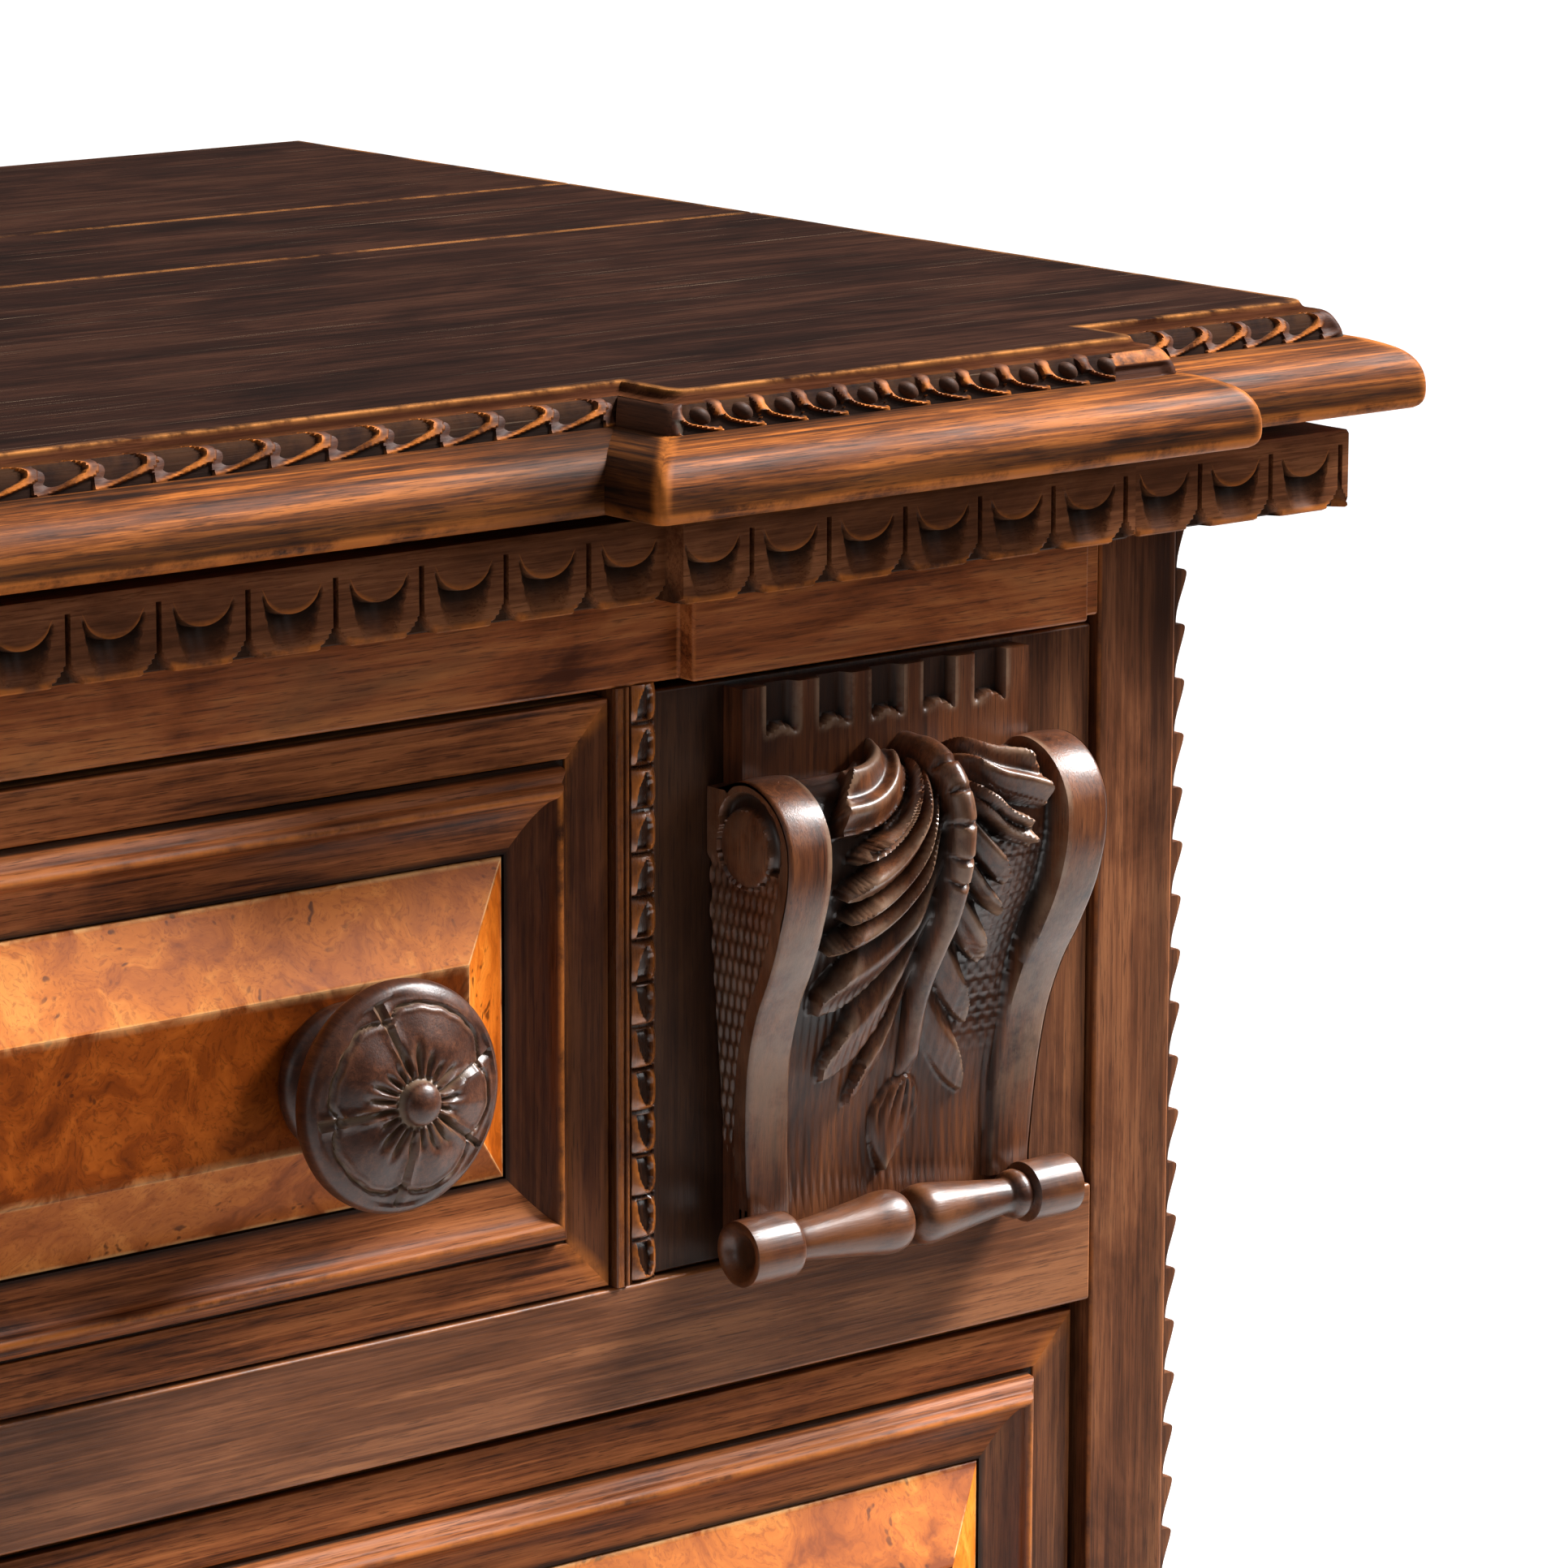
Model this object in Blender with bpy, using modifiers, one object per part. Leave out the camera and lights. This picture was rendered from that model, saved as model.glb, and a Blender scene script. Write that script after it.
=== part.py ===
"""Walnut chest of drawers with a stepped, moulded top, a carved frieze and corbelled corner drawers.

Units are metres, +Z up, the front faces -Y and the origin is on the floor under the middle of the chest.
Depths are measured from the front edges of the two sides, positive towards the back.
"""
import math

import bmesh
import bpy
from mathutils import Matrix, Vector

# Carcass
INNER_WIDTH = 1.222            # between the two sides
SIDE_THICKNESS = 0.030
CARCASS_DEPTH = 0.482          # front edge to back edge of a side
BACK_THICKNESS = 0.018
BACK_INSET = 0.004             # back panel set in from the back edges of the sides
BOTTOM_THICKNESS = 0.025
RAIL_HEIGHT = 0.0355
RAIL_DEPTH = 0.030
DUST_BOARD_THICKNESS = 0.014
FOOT_SHOWING = 0.085           # floor to the underside of the plinth
PLINTH_HEIGHT = 0.065
PLINTH_THICKNESS = 0.022
PLINTH_SHELF = 0.003           # flat left on top of the plinth
# Plinth moulding: share of the projection and share of the height, bottom to top
PLINTH_EDGE = ((0.92, 0.0), (1.0, 0.05), (1.0, 0.42), (0.88, 0.46), (0.88, 0.52), (0.76, 0.60), (0.48, 0.70),
               (0.26, 0.82), (0.16, 0.92), (0.0, 0.93), (0.0, 1.0))
LOWER_OPENING = 0.240
MIDDLE_OPENING = 0.225
TOP_OPENING = 0.1697
FIT = 0.0003                   # gap between pieces that are glued, nailed or seated on each other

# Partitions beside the top drawer
PARTITION_THICKNESS = 0.0145
PARTITION_BAY = 0.163          # clear width of each corner bay
PARTITION_FRONT = -0.001

# Fascia, frieze and top
FASCIA_THICKNESS = 0.022
FASCIA_SHOWING = 0.026         # fascia seen below the frieze
FASCIA_BLOCK_STEP = 0.0065
FASCIA_BLOCK_WIDTH = 0.145
FASCIA_BLOCK_FROM_SIDE = 0.0826   # inner face of the side to the middle of the block
FRIEZE_HEIGHT = 0.023
FRIEZE_SHADOW_GAP = 0.0067     # open slot between the frieze and the top
FRIEZE_FRONT_OVERHANG = 0.016
FRIEZE_END_STEP = 0.005        # the end lengths stand this far in front of the middle length
FRIEZE_BLOCK_STEP = 0.008
FRIEZE_BLOCK_WIDTH = 0.164
FRIEZE_BLOCK_FROM_SIDE = 0.0905
FRIEZE_SIDE_OVERHANG = 0.048
FRIEZE_BACK_MARGIN = 0.002
TOP_THICKNESS = 0.031
TOP_FRONT_OVERHANG = 0.037
TOP_SIDE_OVERHANG = 0.065
TOP_BACK_OVERHANG = 0.0125
TOP_BLOCK_STEP = 0.0235
TOP_BLOCK_WIDTH = 0.217
TOP_BLOCK_FROM_SIDE = 0.101
TOP_SEAM_FROM_BACK = 0.250     # joint between the front and the back board
TOP_EDGE_INSET = 0.026         # moulded edge, in plan
# Moulded edge: share of the inset and share of the thickness, bottom to top
TOP_EDGE = ((0.10, 0.0), (0.03, 0.05), (0.0, 0.17), (0.03, 0.36), (0.14, 0.54), (0.34, 0.635),
            (0.66, 0.71), (0.72, 0.84), (0.83, 0.95), (0.96, 0.96), (1.0, 1.0))

# Carved strip on the outside of each side
TOOTH_PITCH = 0.016
TOOTH_DEPTH = 0.0058
TOOTH_ROOT = 0.0012
STRIP_WIDTH = 0.0145
STRIP_INSET = 0.001            # from the front edge of the side

# Drawers
FACE_RECESS_TOP = 0.001        # drawer faces behind the front edges of the sides
FACE_RECESS_LONG = 0.005
FACE_RECESS_CORNER = 0.0025
SIDE_GAP_TOP = 0.0012
SIDE_GAP_LONG = 0.003
SIDE_GAP_CORNER = 0.001
GAP_ABOVE_TOP = 0.0027         # over the three drawers of the top row
GAP_ABOVE_LONG = 0.0037        # over the long drawers below
GAP_BELOW = 0.0008
FRONT_THICKNESS = 0.020
BOX_SIDE_THICKNESS = 0.012
BOX_BACK_THICKNESS = 0.012
BOX_BOTTOM_THICKNESS = 0.008
BOX_BOTTOM_RISE = 0.010        # underside of the bottom above the lower edge of the sides
BOX_GROOVE_DEPTH = 0.005
BOX_HEAD_ROOM = 0.010          # top of the box below the top of its front
BOX_SIDE_GAP = 0.004           # box sides in from the ends of the front
BOX_REAR_SPACE = 0.020         # behind the box when shut
MOULDING_INSET = 0.015         # plain border of the drawer front
MOULDING_WIDTH = 0.023
MOULDING_HEIGHT = 0.008
# Moulding section: share of its width inwards, share of its height forwards
MOULDING_SECTION = ((0.0, 0.0), (0.0, 0.35), (0.16, 0.85), (0.34, 1.0), (0.52, 0.85), (0.72, 0.45),
                    (1.0, 0.3), (1.0, 0.0))
PANEL_EDGE_HEIGHT = 0.0022
PANEL_FIELD_HEIGHT = 0.0185
PANEL_BEVEL = 0.0235

# Knobs
KNOB_DIAMETER = 0.062
KNOB_LENGTH = 0.039            # panel field to the boss
KNOB_TENON_DIAMETER = 0.016
KNOB_FROM_SIDE = 0.2845        # inner face of the chest's side to the knob's axis
KNOB_DROP = 0.002              # axis below the middle of the drawer front
KNOB_HOLE_GAP = 0.0003
# Knob turning: share of the head's radius and share of the length, boss to foot
KNOB_PROFILE = ((0.0, 1.0), (0.20, 0.98), (0.45, 0.925), (0.80, 0.91), (0.95, 0.825), (1.0, 0.70),
                (0.95, 0.575), (0.75, 0.45), (0.50, 0.36), (0.48, 0.28), (0.64, 0.22), (0.68, 0.12),
                (0.64, 0.0))

# Corbels of the corner drawers
CORBEL_FROM_SIDE = 0.085
CORBEL_PLATE_WIDTH = 0.105
CORBEL_PLATE_THICKNESS = 0.0083
CORBEL_PLATE_MARGIN = 0.0015   # plate below the top of its drawer front
CORBEL_HEAD_WIDTH = 0.117
CORBEL_HEAD_DEPTH = 0.0285     # in front of the plate
CORBEL_HEAD_RADIUS = 0.020
CORBEL_HEAD_HEIGHT = 0.1215    # rail top to the middle of the upper scroll
CORBEL_HEAD_END = 215          # degrees, where the upper scroll runs out into the waist
CORBEL_WAIST_DEPTH = 0.0045
CORBEL_WAIST_DROP = 0.052      # middle of the upper scroll to the start of the waist
CORBEL_BAND_WIDTH = 0.0145
CORBEL_BAND_SLOPE = 0.0015     # width of the slope from a band down to the hollow field
CORBEL_BAND_HEIGHT = 0.006
CORBEL_ROLL_WIDTH = 0.122
CORBEL_ROLL_DIAMETER = 0.019
CORBEL_ROLL_HEIGHT = 0.008     # rail top to the middle of the lower roll
CORBEL_ROLL_ARC = (120, 330)   # degrees, the part of the lower roll that stands free of the plate
CORBEL_ARC_STEPS = 7

# Feet
FOOT_DIAMETER = 0.110
FOOT_NECK_DIAMETER = 0.062
FOOT_SOLE_DIAMETER = 0.070
FOOT_INSET = 0.056             # outside of the carcass to the axis of a foot
FOOT_SWELL_MARGIN = 0.005      # round belly short of the sole and of the plinth
FOOT_SWELL_ARC = range(45, 151, 15)   # degrees from the top of the belly

# Round pieces
KNOB_SIDES = 24
FOOT_SIDES = 24
TENON_SIDES = 16
SMOOTH_ANGLE = math.radians(28)

# Heights and depths that follow from the sizes above
PLINTH_TOP = FOOT_SHOWING + PLINTH_HEIGHT
LOWER_TOP = PLINTH_TOP + LOWER_OPENING
MIDDLE_BASE = LOWER_TOP + RAIL_HEIGHT
MIDDLE_TOP = MIDDLE_BASE + MIDDLE_OPENING
TOP_BASE = MIDDLE_TOP + RAIL_HEIGHT
FASCIA_BASE = TOP_BASE + TOP_OPENING
FRIEZE_BASE = FASCIA_BASE + FASCIA_SHOWING
TOP_UNDERSIDE = FRIEZE_BASE + FRIEZE_HEIGHT + FRIEZE_SHADOW_GAP
HALF_INNER = INNER_WIDTH / 2
HALF_OUTER = HALF_INNER + SIDE_THICKNESS
DEPTH_IN_FRONT = TOP_FRONT_OVERHANG + TOP_BLOCK_STEP
OVERALL_DEPTH = DEPTH_IN_FRONT + CARCASS_DEPTH + TOP_BACK_OVERHANG
SIDE_FRONT_Y = DEPTH_IN_FRONT - OVERALL_DEPTH / 2
BACK_FACE = CARCASS_DEPTH - BACK_INSET - BACK_THICKNESS
BOX_END = BACK_FACE - BOX_REAR_SPACE
PARTITION_INNER = HALF_INNER - PARTITION_BAY - PARTITION_THICKNESS


def depth(value):
    """World Y of a depth measured from the front edges of the sides."""
    return SIDE_FRONT_Y + value


def material(name, colour, roughness):
    made = bpy.data.materials.new(name)
    made.use_nodes = True
    shader = made.node_tree.nodes["Principled BSDF"]
    shader.inputs["Base Color"].default_value = (*colour, 1.0)
    shader.inputs["Roughness"].default_value = roughness
    shader.inputs["Metallic"].default_value = 0.0
    return made


def empty(name, location, parent=None):
    made = bpy.data.objects.new(name, None)
    made.location = location
    PARTS.objects.link(made)
    if parent:
        place_under(made, parent)
    return made


def place_under(child, parent):
    """Parent without moving: both were placed in world coordinates."""
    child.parent = parent
    child.matrix_parent_inverse = Matrix.Translation(-parent.location)


def finish(made, finish_material, parent, smooth=False):
    """Give a part its material, its collection and its parent."""
    made.data.materials.append(finish_material)
    PARTS.objects.link(made)
    place_under(made, parent)
    if smooth:
        made.data.shade_smooth()
        made.data.set_sharp_from_angle(angle=SMOOTH_ANGLE)
    return made


def mesh_object(name, shape):
    """A mesh object from a bmesh, with its faces turned outwards."""
    bmesh.ops.recalc_face_normals(shape, faces=shape.faces)
    mesh = bpy.data.meshes.new(name)
    shape.to_mesh(mesh)
    shape.free()
    return bpy.data.objects.new(name, mesh)


def board(name, x, y, z, finish_material, parent):
    """A plain board between two X, two Y and two Z values."""
    low = Vector((x[0], y[0], z[0]))
    high = Vector((x[1], y[1], z[1]))
    shape = bmesh.new()
    bmesh.ops.create_cube(shape, size=1.0)
    bmesh.ops.scale(shape, vec=high - low, verts=shape.verts)
    made = mesh_object(name, shape)
    made.location = (low + high) / 2
    return finish(made, finish_material, parent)


def outline(name, points, axis, start, end, finish_material, parent):
    """A flat outline given a thickness along X, or along Z where the outline is a plan."""
    curve = bpy.data.curves.new(name, "CURVE")
    curve.dimensions = "2D"
    curve.fill_mode = "BOTH"
    curve.extrude = (end - start) / 2
    spline = curve.splines.new("POLY")
    spline.points.add(len(points) - 1)
    for point, (across, up) in zip(spline.points, points):
        point.co = (across, up, 0.0, 1.0)
    spline.use_cyclic_u = True
    made = bpy.data.objects.new(name, curve)
    middle = (start + end) / 2
    if axis == "X":
        turn = Matrix(((0, 0, 1), (1, 0, 0), (0, 1, 0)))
        made.matrix_world = Matrix.Translation((middle, 0, 0)) @ turn.to_4x4()
    else:
        made.location = (0, 0, middle)
    return finish(made, finish_material, parent)


def loft(name, rings, closed, finish_material, parent, smooth=False):
    """A skin through rings of equal length, closed on itself or capped at both ends."""
    shape = bmesh.new()
    loops = [[shape.verts.new(point) for point in ring] for ring in rings]
    pairs = list(zip(loops, loops[1:]))
    if closed:
        pairs.append((loops[-1], loops[0]))
    else:
        shape.faces.new(loops[0])
        shape.faces.new(loops[-1])
    for lower, upper in pairs:
        for i in range(len(lower)):
            j = (i + 1) % len(lower)
            shape.faces.new((lower[i], lower[j], upper[j], upper[i]))
    return finish(mesh_object(name, shape), finish_material, parent, smooth)


def turned(name, profile, sides, location, finish_material, parent, forwards=False):
    """A turned piece: radius and height pairs, top to bottom, about Z or about the forward axis."""
    mesh = bpy.data.meshes.new(name)
    points = [(radius, 0.0, height) for radius, height in profile]
    mesh.from_pydata(points, [(i, i + 1) for i in range(len(points) - 1)], [])
    made = bpy.data.objects.new(name, mesh)
    screw = made.modifiers.new("turn", "SCREW")
    screw.axis = "Z"
    screw.steps = sides
    screw.render_steps = sides
    screw.use_merge_vertices = True
    screw.merge_threshold = 0.00005
    screw.use_smooth_shade = True
    made.location = location
    if forwards:
        made.rotation_euler = (math.pi / 2, 0.0, 0.0)
    return finish(made, finish_material, parent)


def round_cutter(name, radius, start, end, x, z):
    """A cylinder along Y, used only to bore holes."""
    shape = bmesh.new()
    bmesh.ops.create_cone(shape, cap_ends=True, segments=TENON_SIDES, radius1=radius, radius2=radius,
                          depth=end - start)
    made = mesh_object(name, shape)
    made.rotation_euler = (math.pi / 2, 0.0, 0.0)
    made.location = (x, (start + end) / 2, z)
    made.hide_render = True
    made.display_type = "WIRE"
    CUTTERS.objects.link(made)
    return made


def bore(piece, cutter):
    cut = piece.modifiers.new("bore", "BOOLEAN")
    cut.operation = "DIFFERENCE"
    cut.solver = "EXACT"
    cut.object = cutter


def arc(middle, radius, start, end, steps):
    """Points on an arc, angles in degrees, both ends included."""
    turns = [math.radians(start + (end - start) * i / steps) for i in range(steps + 1)]
    return [(middle[0] + radius * math.cos(a), middle[1] + radius * math.sin(a)) for a in turns]


def stepped_front(half_end, end_front, block_middle, block_half, block_front, middle_front):
    """Plan points of a front with a projecting block near each end, left to right."""
    right = [(block_middle - block_half, middle_front), (block_middle - block_half, block_front),
             (block_middle + block_half, block_front), (block_middle + block_half, end_front),
             (half_end, end_front)]
    left = [(-x, y) for x, y in reversed(right)]
    return left + right


def inset_plan(plan, insets):
    """Move each edge of a plan inwards by its own inset; edge i runs from point i to point i + 1."""
    moved = []
    for i, point in enumerate(plan):
        before = Vector(plan[i]) - Vector(plan[i - 1])
        after = Vector(plan[(i + 1) % len(plan)]) - Vector(point)
        inward_before = Vector((-before.y, before.x)).normalized() * insets[i - 1]
        inward_after = Vector((-after.y, after.x)).normalized() * insets[i]
        moved.append(Vector(point) + inward_before + inward_after)
    return moved


def moulded_board(name, plan, moulded, parent):
    """A board of the top: the listed edges of its plan carry the moulded edge."""
    rings = []
    for inset_share, height_share in TOP_EDGE:
        insets = [inset_share * TOP_EDGE_INSET if is_moulded else 0.0 for is_moulded in moulded]
        height = TOP_UNDERSIDE + height_share * TOP_THICKNESS
        rings.append([(x, y, height) for x, y in inset_plan(plan, insets)])
    return loft(name, rings, False, DARK_WALNUT, parent, smooth=True)


def make_top(parent):
    half = HALF_OUTER + TOP_SIDE_OVERHANG
    front = stepped_front(half, depth(-TOP_FRONT_OVERHANG), HALF_INNER - TOP_BLOCK_FROM_SIDE,
                          TOP_BLOCK_WIDTH / 2, depth(-DEPTH_IN_FRONT), depth(-TOP_FRONT_OVERHANG))
    back = depth(CARCASS_DEPTH + TOP_BACK_OVERHANG)
    seam = back - TOP_SEAM_FROM_BACK
    front_plan = front + [(half, seam - FIT / 2), (-half, seam - FIT / 2)]
    front_moulded = [True] * len(front) + [False, True]
    moulded_board("top_front_board", front_plan, front_moulded, parent)
    back_plan = [(-half, seam + FIT / 2), (half, seam + FIT / 2), (half, back), (-half, back)]
    moulded_board("top_back_board", back_plan, [False, True, False, True], parent)


def make_frieze(parent):
    """Carved band under the top: front with its blocks and a return along each side, in one."""
    half = HALF_OUTER + FRIEZE_SIDE_OVERHANG
    middle_front = depth(-FRIEZE_FRONT_OVERHANG)
    end_front = middle_front - FRIEZE_END_STEP
    block_front = middle_front - FRIEZE_BLOCK_STEP
    outer = stepped_front(half, end_front, HALF_INNER - FRIEZE_BLOCK_FROM_SIDE, FRIEZE_BLOCK_WIDTH / 2,
                          block_front, middle_front)
    back = depth(CARCASS_DEPTH - FRIEZE_BACK_MARGIN)
    inner_half = HALF_OUTER + FIT
    inner = stepped_front(inner_half, depth(-FIT), HALF_INNER - FASCIA_BLOCK_FROM_SIDE,
                          FASCIA_BLOCK_WIDTH / 2 + FIT, depth(-FASCIA_BLOCK_STEP - FIT), depth(-FIT))
    plan = outer + [(half, back), (inner_half, back)] + inner[::-1] + [(-inner_half, back), (-half, back)]
    outline("frieze", plan, "Z", FRIEZE_BASE, FRIEZE_BASE + FRIEZE_HEIGHT, WALNUT, parent)


def make_fascia(parent):
    half = HALF_INNER - FIT
    front = stepped_front(half, depth(0.0), HALF_INNER - FASCIA_BLOCK_FROM_SIDE, FASCIA_BLOCK_WIDTH / 2,
                          depth(-FASCIA_BLOCK_STEP), depth(0.0))
    plan = front + [(half, depth(FASCIA_THICKNESS)), (-half, depth(FASCIA_THICKNESS))]
    outline("fascia", plan, "Z", FASCIA_BASE, TOP_UNDERSIDE - FIT, WALNUT, parent)


def make_sides(parent):
    base = PLINTH_TOP - BOTTOM_THICKNESS
    for side, sign in (("left", -1), ("right", 1)):
        across = sorted((sign * HALF_INNER, sign * HALF_OUTER))
        board(f"side_{side}", across, (depth(0.0), depth(CARCASS_DEPTH)), (base, TOP_UNDERSIDE - FIT),
              WALNUT, parent)
        make_tooth_strip(f"tooth_strip_{side}", sign, parent)


def make_tooth_strip(name, sign, parent):
    """Strip carved into a row of teeth with flat tops, on the outer face of a side."""
    low = PLINTH_TOP + FIT
    high = FRIEZE_BASE - FIT
    count = max(1, int((high - low) / TOOTH_PITCH))
    pitch = (high - low) / count
    face = HALF_OUTER + FIT
    edge = []
    for i in range(count):
        foot = low + i * pitch
        edge.append((face + TOOTH_ROOT, foot))
        edge.append((face + TOOTH_DEPTH, foot + pitch))
    points = [(face, low)] + edge + [(face, high)]
    start = depth(STRIP_INSET)
    rings = [[(sign * x, y, z) for x, z in points] for y in (start, start + STRIP_WIDTH)]
    loft(name, rings, False, WALNUT, parent)


def make_inner_boards(parent):
    half = HALF_INNER - FIT
    board("bottom_board", (-half, half), (depth(0.0), depth(BACK_FACE - FIT)),
          (PLINTH_TOP - BOTTOM_THICKNESS, PLINTH_TOP), WALNUT, parent)
    board("back_panel", (-half, half), (depth(BACK_FACE), depth(BACK_FACE + BACK_THICKNESS)),
          (PLINTH_TOP - BOTTOM_THICKNESS, TOP_UNDERSIDE - FIT), SECONDARY, parent)
    for level, base in (("lower", LOWER_TOP), ("upper", MIDDLE_TOP)):
        top = base + RAIL_HEIGHT
        board(f"rail_{level}", (-half, half), (depth(0.0), depth(RAIL_DEPTH)), (base, top), WALNUT, parent)
        board(f"dust_board_{level}", (-half, half), (depth(RAIL_DEPTH + FIT), depth(BACK_FACE - FIT)),
              (top - DUST_BOARD_THICKNESS, top), SECONDARY, parent)


def make_partitions(parent):
    """Upright boards between the top drawer and the corner drawers, notched round the fascia."""
    base = TOP_BASE + FIT
    notch = depth(FASCIA_THICKNESS + FIT)
    profile = [(depth(PARTITION_FRONT), base), (depth(BACK_FACE - FIT), base),
               (depth(BACK_FACE - FIT), TOP_UNDERSIDE - FIT), (notch, TOP_UNDERSIDE - FIT),
               (notch, FASCIA_BASE - FIT), (depth(PARTITION_FRONT), FASCIA_BASE - FIT)]
    for side, sign in (("left", -1), ("right", 1)):
        start, end = sorted((sign * PARTITION_INNER, sign * (PARTITION_INNER + PARTITION_THICKNESS)))
        outline(f"partition_{side}", profile, "X", start, end, WALNUT, parent)


def make_plinth(parent):
    """Base moulding round the front and the two sides, hollowed above a plain band."""
    inner = HALF_OUTER + FIT
    back = depth(CARCASS_DEPTH)
    front = depth(-FIT)
    rings = []
    for projection, height in PLINTH_EDGE:
        thickness = PLINTH_SHELF + projection * (PLINTH_THICKNESS - PLINTH_SHELF)
        outer = inner + thickness
        level = FOOT_SHOWING + height * PLINTH_HEIGHT
        rings.append([(-outer, back, level), (-outer, front - thickness, level),
                      (outer, front - thickness, level), (outer, back, level),
                      (inner, back, level), (inner, front, level), (-inner, front, level),
                      (-inner, back, level)])
    loft("plinth", rings, False, WALNUT, parent, smooth=True)


def make_feet(parent):
    """Turned bun feet: flat sole, round belly, and a neck that reaches up inside the plinth."""
    top = PLINTH_TOP - BOTTOM_THICKNESS - FIT
    neck = FOOT_NECK_DIAMETER / 2
    sole = FOOT_SOLE_DIAMETER / 2
    belly = FOOT_DIAMETER / 2
    shoulder = FOOT_SHOWING - FIT
    swell = [(math.sin(math.radians(a)), math.cos(math.radians(a))) for a in FOOT_SWELL_ARC]
    rise = shoulder / 2 - FOOT_SWELL_MARGIN
    middle = FOOT_SWELL_MARGIN + rise
    profile = [(0.0, top), (neck, top), (neck, shoulder)]
    profile += [(neck + (belly - neck) * s, middle + rise * c) for s, c in swell]
    profile += [(sole, 0.0), (0.0, 0.0)]
    across = HALF_OUTER - FOOT_INSET
    for row, y in (("front", depth(FOOT_INSET)), ("back", depth(CARCASS_DEPTH - FOOT_INSET))):
        for side, sign in (("left", -1), ("right", 1)):
            turned(f"foot_{row}_{side}", profile, FOOT_SIDES, (sign * across, y, 0.0), WALNUT, parent)


def make_box(prefix, x, front_back, base, height, parent):
    """Drawer box behind a front: two grooved sides, a back and a bottom held in the grooves."""
    left, right = x
    start = depth(front_back + FIT)
    end = depth(BOX_END)
    groove_base = base + BOX_BOTTOM_RISE
    groove_top = groove_base + BOX_BOTTOM_THICKNESS + 2 * FIT
    for side, outer, sign in (("left", left, 1), ("right", right, -1)):
        inner = outer + sign * BOX_SIDE_THICKNESS
        groove = inner - sign * BOX_GROOVE_DEPTH
        section = [(outer, base), (inner, base), (inner, groove_base), (groove, groove_base),
                   (groove, groove_top), (inner, groove_top), (inner, base + height), (outer, base + height)]
        rings = [[(across, y, up) for across, up in section] for y in (start, end)]
        loft(f"{prefix}_side_{side}", rings, False, SECONDARY, parent)
    inner_left = left + BOX_SIDE_THICKNESS + FIT
    inner_right = right - BOX_SIDE_THICKNESS - FIT
    board(f"{prefix}_back", (inner_left, inner_right), (end - BOX_BACK_THICKNESS, end),
          (groove_top, base + height), SECONDARY, parent)
    reach = BOX_GROOVE_DEPTH - FIT
    board(f"{prefix}_bottom", (inner_left - FIT - reach, inner_right + FIT + reach), (start, end),
          (groove_base + FIT, groove_base + FIT + BOX_BOTTOM_THICKNESS), SECONDARY, parent)


def make_face(prefix, x, face, base, top, parent):
    """Mitred moulding and bevelled burl panel on a drawer front."""
    flat = depth(face) - FIT
    left, right = x[0] + MOULDING_INSET, x[1] - MOULDING_INSET
    low, high = base + MOULDING_INSET, top - MOULDING_INSET
    corners = ((left, low, 1, 1), (right, low, -1, 1), (right, high, -1, -1), (left, high, 1, -1))
    rings = []
    for corner_x, corner_z, turn_x, turn_z in corners:
        rings.append([(corner_x + turn_x * across * MOULDING_WIDTH, flat - out * MOULDING_HEIGHT,
                       corner_z + turn_z * across * MOULDING_WIDTH) for across, out in MOULDING_SECTION])
    loft(f"{prefix}_moulding", rings, True, WALNUT, parent)
    inset = MOULDING_WIDTH + FIT
    rings = []
    for extra, out in ((0.0, 0.0), (0.0, PANEL_EDGE_HEIGHT), (PANEL_BEVEL, PANEL_FIELD_HEIGHT)):
        move = inset + extra
        y = flat - out
        rings.append([(left + move, y, low + move), (right - move, y, low + move),
                      (right - move, y, high - move), (left + move, y, high - move)])
    return loft(f"{prefix}_panel", rings, False, BURL, parent)


def make_knob(name, x, z, field, back, parent):
    """Turned knob: wide head, narrow neck, foot against the panel and a tenon through the front."""
    tenon = KNOB_TENON_DIAMETER / 2
    profile = [(radius * KNOB_DIAMETER / 2, out * KNOB_LENGTH) for radius, out in KNOB_PROFILE]
    profile += [(tenon, 0.0), (tenon, field - back), (0.0, field - back)]
    turned(name, profile, KNOB_SIDES, (x, field, z), DARK_WALNUT, parent, forwards=True)


def make_long_drawer(prefix, half_front, face, base, opening, gap_above, parent):
    """A drawer with a moulded, panelled front and two knobs."""
    low = base + GAP_BELOW
    top = base + opening - gap_above
    home = empty(f"{prefix}_slide", (0.0, depth(face), low), parent)
    x = (-half_front, half_front)
    front = board(f"{prefix}_front", x, (depth(face), depth(face + FRONT_THICKNESS)), (low, top),
                  WALNUT, home)
    panel = make_face(prefix, x, face, low, top, home)
    knob_x = HALF_INNER - KNOB_FROM_SIDE
    knob_z = (low + top) / 2 - KNOB_DROP
    field = depth(face) - FIT - PANEL_FIELD_HEIGHT - FIT
    for side, sign in (("left", -1), ("right", 1)):
        hole = round_cutter(f"{prefix}_hole_{side}", KNOB_TENON_DIAMETER / 2 + KNOB_HOLE_GAP,
                            field - KNOB_LENGTH, depth(face + 2 * FRONT_THICKNESS), sign * knob_x, knob_z)
        bore(front, hole)
        bore(panel, hole)
        make_knob(f"{prefix}_knob_{side}", sign * knob_x, knob_z, field, depth(face + FRONT_THICKNESS), home)
    half_box = half_front - BOX_SIDE_GAP
    box_base = base + FIT
    make_box(prefix, (-half_box, half_box), face + FRONT_THICKNESS, box_base, top - BOX_HEAD_ROOM - box_base,
             home)


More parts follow.
